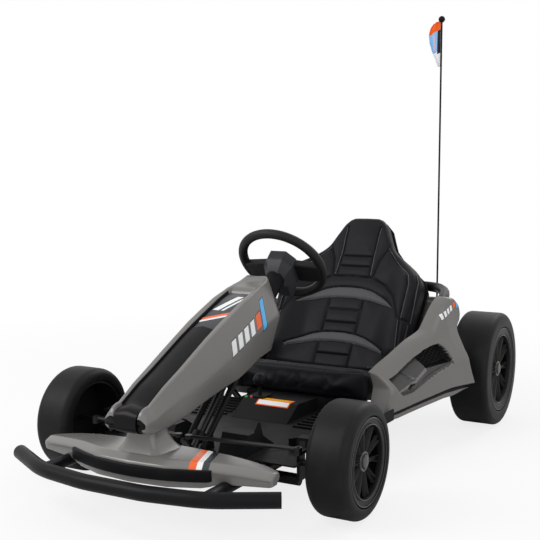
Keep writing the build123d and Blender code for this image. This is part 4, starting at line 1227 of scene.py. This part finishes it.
# hoop behind the seat
hoop = {"radius": 13.6, "half": [(284, 646, 322), (286, 650, 340), (292, 668, 350), (280, 720, 354),
                                 (256, 790, 357), (212, 845, 360), (110, 850, 360)]}
line = bpy.data.curves.new("hoop", "CURVE")
line.dimensions = "3D"
line.bevel_depth, line.bevel_resolution, line.use_fill_caps = hoop["radius"] / 1000, 5, True
line.resolution_u = 10
spline = line.splines.new("NURBS")
stops = [(-x, y, z) for x, y, z in hoop["half"]] + list(reversed(hoop["half"]))
spline.points.add(len(stops) - 1)
for point, stop in zip(spline.points, stops):
    point.co = (*mm(*stop), 1)
spline.order_u, spline.use_endpoint_u = 3, True
holder = bpy.data.objects.new("hoopLine", line)
bpy.context.collection.objects.link(holder)
hoopMesh = bpy.data.meshes.new_from_object(holder)
hoopBar = bpy.data.objects.new("hoopBar", hoopMesh)
bpy.context.collection.objects.link(hoopBar)
bpy.data.objects.remove(holder)
hoopBar.data.materials.clear()
give(tidy(hoopBar, 50), "frame_paint", stands=["hoop_bar"])

# rear cover: a rounded shell between the wheels, with its shelf for the rod
cover = {"half": 232, "round": 18, "middle": 838, "low": 189.3, "shorter": 0.09, "lower": 0.08, "wall": 3.0}
coverProfile = [(722, 189.3, 2), (754, 244, 20), (806, 322, 16), (828, 333, 12), (862, 330, 10),
                (876, 311.4, 4), (914, 311.4, 8), (940, 262, 14), (952, 189.3, 2)]
profile = rounded(coverProfile, steps=5, closed=False)
ends = [cover["half"] - inset for inset in (18, 10, 4, 1, 0)]
rings = []
for x in [-end for end in reversed(ends)] + list(range(-200, 201, 20)) + ends:
    fall = max(abs(x) - cover["half"] + cover["round"], 0) / cover["round"]
    inset = 1 - (1 - fall * fall) ** 0.5
    short, flat = 1 - cover["shorter"] * inset, 1 - cover["lower"] * inset
    rings.append([mm(x, cover["middle"] + (p.x - cover["middle"]) * short,
                     cover["low"] + (p.y - cover["low"]) * flat) for p in profile])
count = len(profile)
faces = gridFaces(len(rings), count)
points = [p for ring in rings for p in ring]
faces += [tuple(range(count)), tuple(reversed(range(len(points) - count, len(points))))]
rearCover = build("rearCover", points, faces, 35)
thicken(rearCover, cover["wall"])
give(rearCover, "body_grey", stands=["rear_cover"])

# front corners of the floor beside the pedals, and the plate between them
tray = {"levels": (95.2, 98.4), "middle": ((-62, -28), (62, -28), (62, 60), (-62, 60)), "corner": (
    (120, -44, 3), (236, -44, 4), (236, -8, 6), (208, 12, 6), (208, 92, 6), (150, 92, 3), (130, 20, 3))}
outlines = [rounded([(side * x, y, r) for x, y, r in tray["corner"]], steps=4) for side in (-1, 1)]
trays = [skin("tray", [[mm(x, y, z) for x, y in outline] for z in tray["levels"]], angle=30)
         for outline in outlines + [tray["middle"]]]
give(joined("floorCorners", trays), "black_plastic")

# two small switches beside the lever
for name, look, spot in (("switchGreen", "lamp_green", (-69, 290, 134.2)),
                         ("switchRed", "lamp_red", (-57, 294, 134.2))):
    bpy.ops.object.select_all(action="DESELECT")
    bpy.ops.mesh.primitive_uv_sphere_add(segments=20, ring_count=10, radius=0.0045, location=mm(*spot))
    switch = settle(bpy.context.object)
    switch.name = name
    give(tidy(switch, 60), look)

# pennant: cloth hanging from the rod just under its ball
flag = {"rows": 44, "columns": 16, "top": 1084.0, "tall": 122.0, "thick": 0.9, "rod": 197.0, "y": 893.0,
        "fold": 5.0, "waves": 9.0, "twist": 2.2, "calmer": 0.3, "sag": 5.4}
flagWidth = [(0, 20), (0.1, 29), (0.25, 33), (0.45, 30), (0.65, 22), (0.85, 12), (1.0, 5)]
points = []
for i in range(flag["rows"]):
    t = i / (flag["rows"] - 1)
    width = lerp(flagWidth, t)[0]
    for j in range(flag["columns"]):
        s = j / (flag["columns"] - 1)
        fold = flag["fold"] * sin(s * flag["waves"] + t * flag["twist"]) * s * (1 - flag["calmer"] * t)
        sag = flag["sag"] * s * s * (1 - t)
        points.append(mm(flag["rod"] - width * s, flag["y"] + fold, flag["top"] - flag["tall"] * t - sag))
pennant = build("pennantCloth", points, gridFaces(flag["rows"], flag["columns"]), 60)
thicken(pennant, flag["thick"], 0)
give(pennant, "flag", stands=["pennant"])
print("hoop, cover, floor corners and pennant done")

# stage
bpy.ops.object.select_all(action="DESELECT")
bpy.ops.mesh.primitive_plane_add(size=30, location=(0, 0, -0.0005))
floor = settle(bpy.context.object)
floor.name = "floor"
ground = bpy.data.materials.new("studio floor")
ground.use_nodes = True
ground.node_tree.nodes.clear()
g = Wire(ground.node_tree)
speck = g.make("TexNoise", None, {"Vector": g.make("TexCoord", out=3), "Scale": 3.0})
pale = g.make("Mix", {"data_type": "RGBA"}, {0: speck, 6: (0.84, 0.84, 0.84, 1), 7: (0.87, 0.87, 0.87, 1)},
              out=2)
matte = g.make("BsdfDiffuse", None, {"Color": pale})
glow = g.make("Emission", None, {"Color": (1, 1, 1, 1), "Strength": 1.0})
path = g.make("LightPath").socket.node
seen = Wire(g.tree, path.outputs["Is Camera Ray"])
distance = g.make("VectorMath", {"operation": "LENGTH"}, {0: g.make("TexCoord", out=3)}, out=1)
fade = g.make("MapRange", {"interpolation_type": "SMOOTHSTEP"}, {0: distance, 1: 0.9, 2: 2.6, 3: 0.8, 4: 1.0})
mixed = g.make("MixShader", None, {0: seen * fade, 1: matte, 2: glow})
g.make("OutputMaterial", None, {"Surface": mixed})
floor.data.materials.append(ground)

studio = {"sky": 0.62, "key": 52.0, "fill": 16.0, "rim": 26.0}
world = bpy.data.worlds.new("studio")
bpy.context.scene.world = world
world.use_nodes = True
world.node_tree.nodes.clear()
air = Wire(world.node_tree)
rays = air.make("LightPath").socket.node
direct = None
for name in ("Is Camera Ray", "Is Glossy Ray", "Is Transmission Ray"):
    ray = Wire(air.tree, rays.outputs[name])
    direct = ray if direct is None else direct.either(ray)
soft = air.make("Background", None, {"Color": (0.97, 0.985, 1, 1), "Strength": studio["sky"]})
plain = air.make("Background", None, {"Color": (1, 1, 1, 1), "Strength": 1.0})
air.make("OutputWorld", None, {"Surface": air.make("MixShader", None, {0: direct, 1: soft, 2: plain})})
for name, place, size, power in (("keyLamp", (-1.7, -2.1, 2.3), 1.6, studio["key"]),
                                 ("fillLamp", (2.6, -1.6, 1.6), 2.2, studio["fill"]),
                                 ("rimLamp", (0.6, 2.6, 2.4), 1.8, studio["rim"])):
    lamp = bpy.data.lights.new(name, "AREA")
    lamp.size, lamp.energy = size, power
    lampObject = bpy.data.objects.new(name, lamp)
    lampObject.location = place
    lampObject.rotation_euler = (Vector(place) - Vector((0, 0, 0.25))).to_track_quat("Z", "Y").to_euler()
    bpy.context.collection.objects.link(lampObject)

shot = {"place": (1.0944, -2.0320, 0.6865), "azimuth": 28.82, "elevation": 6.01, "roll": -0.03, "lens": 64.77}
camera = bpy.data.cameras.new("camera")
camera.lens, camera.sensor_width = shot["lens"], 36
cameraObject = bpy.data.objects.new("camera", camera)
turn, tilt = radians(shot["azimuth"]), radians(shot["elevation"])
away = Vector((sin(turn) * cos(tilt), -cos(turn) * cos(tilt), sin(tilt)))
cameraObject.location = shot["place"]
aim = (-away).to_track_quat("-Z", "Y").to_matrix() @ Matrix.Rotation(radians(shot["roll"]), 3, "Z")
cameraObject.rotation_euler = aim.to_euler()
bpy.context.collection.objects.link(cameraObject)
bpy.context.scene.camera = cameraObject
bpy.context.scene.view_settings.view_transform = "Standard"
print("stage, lamps and camera set")
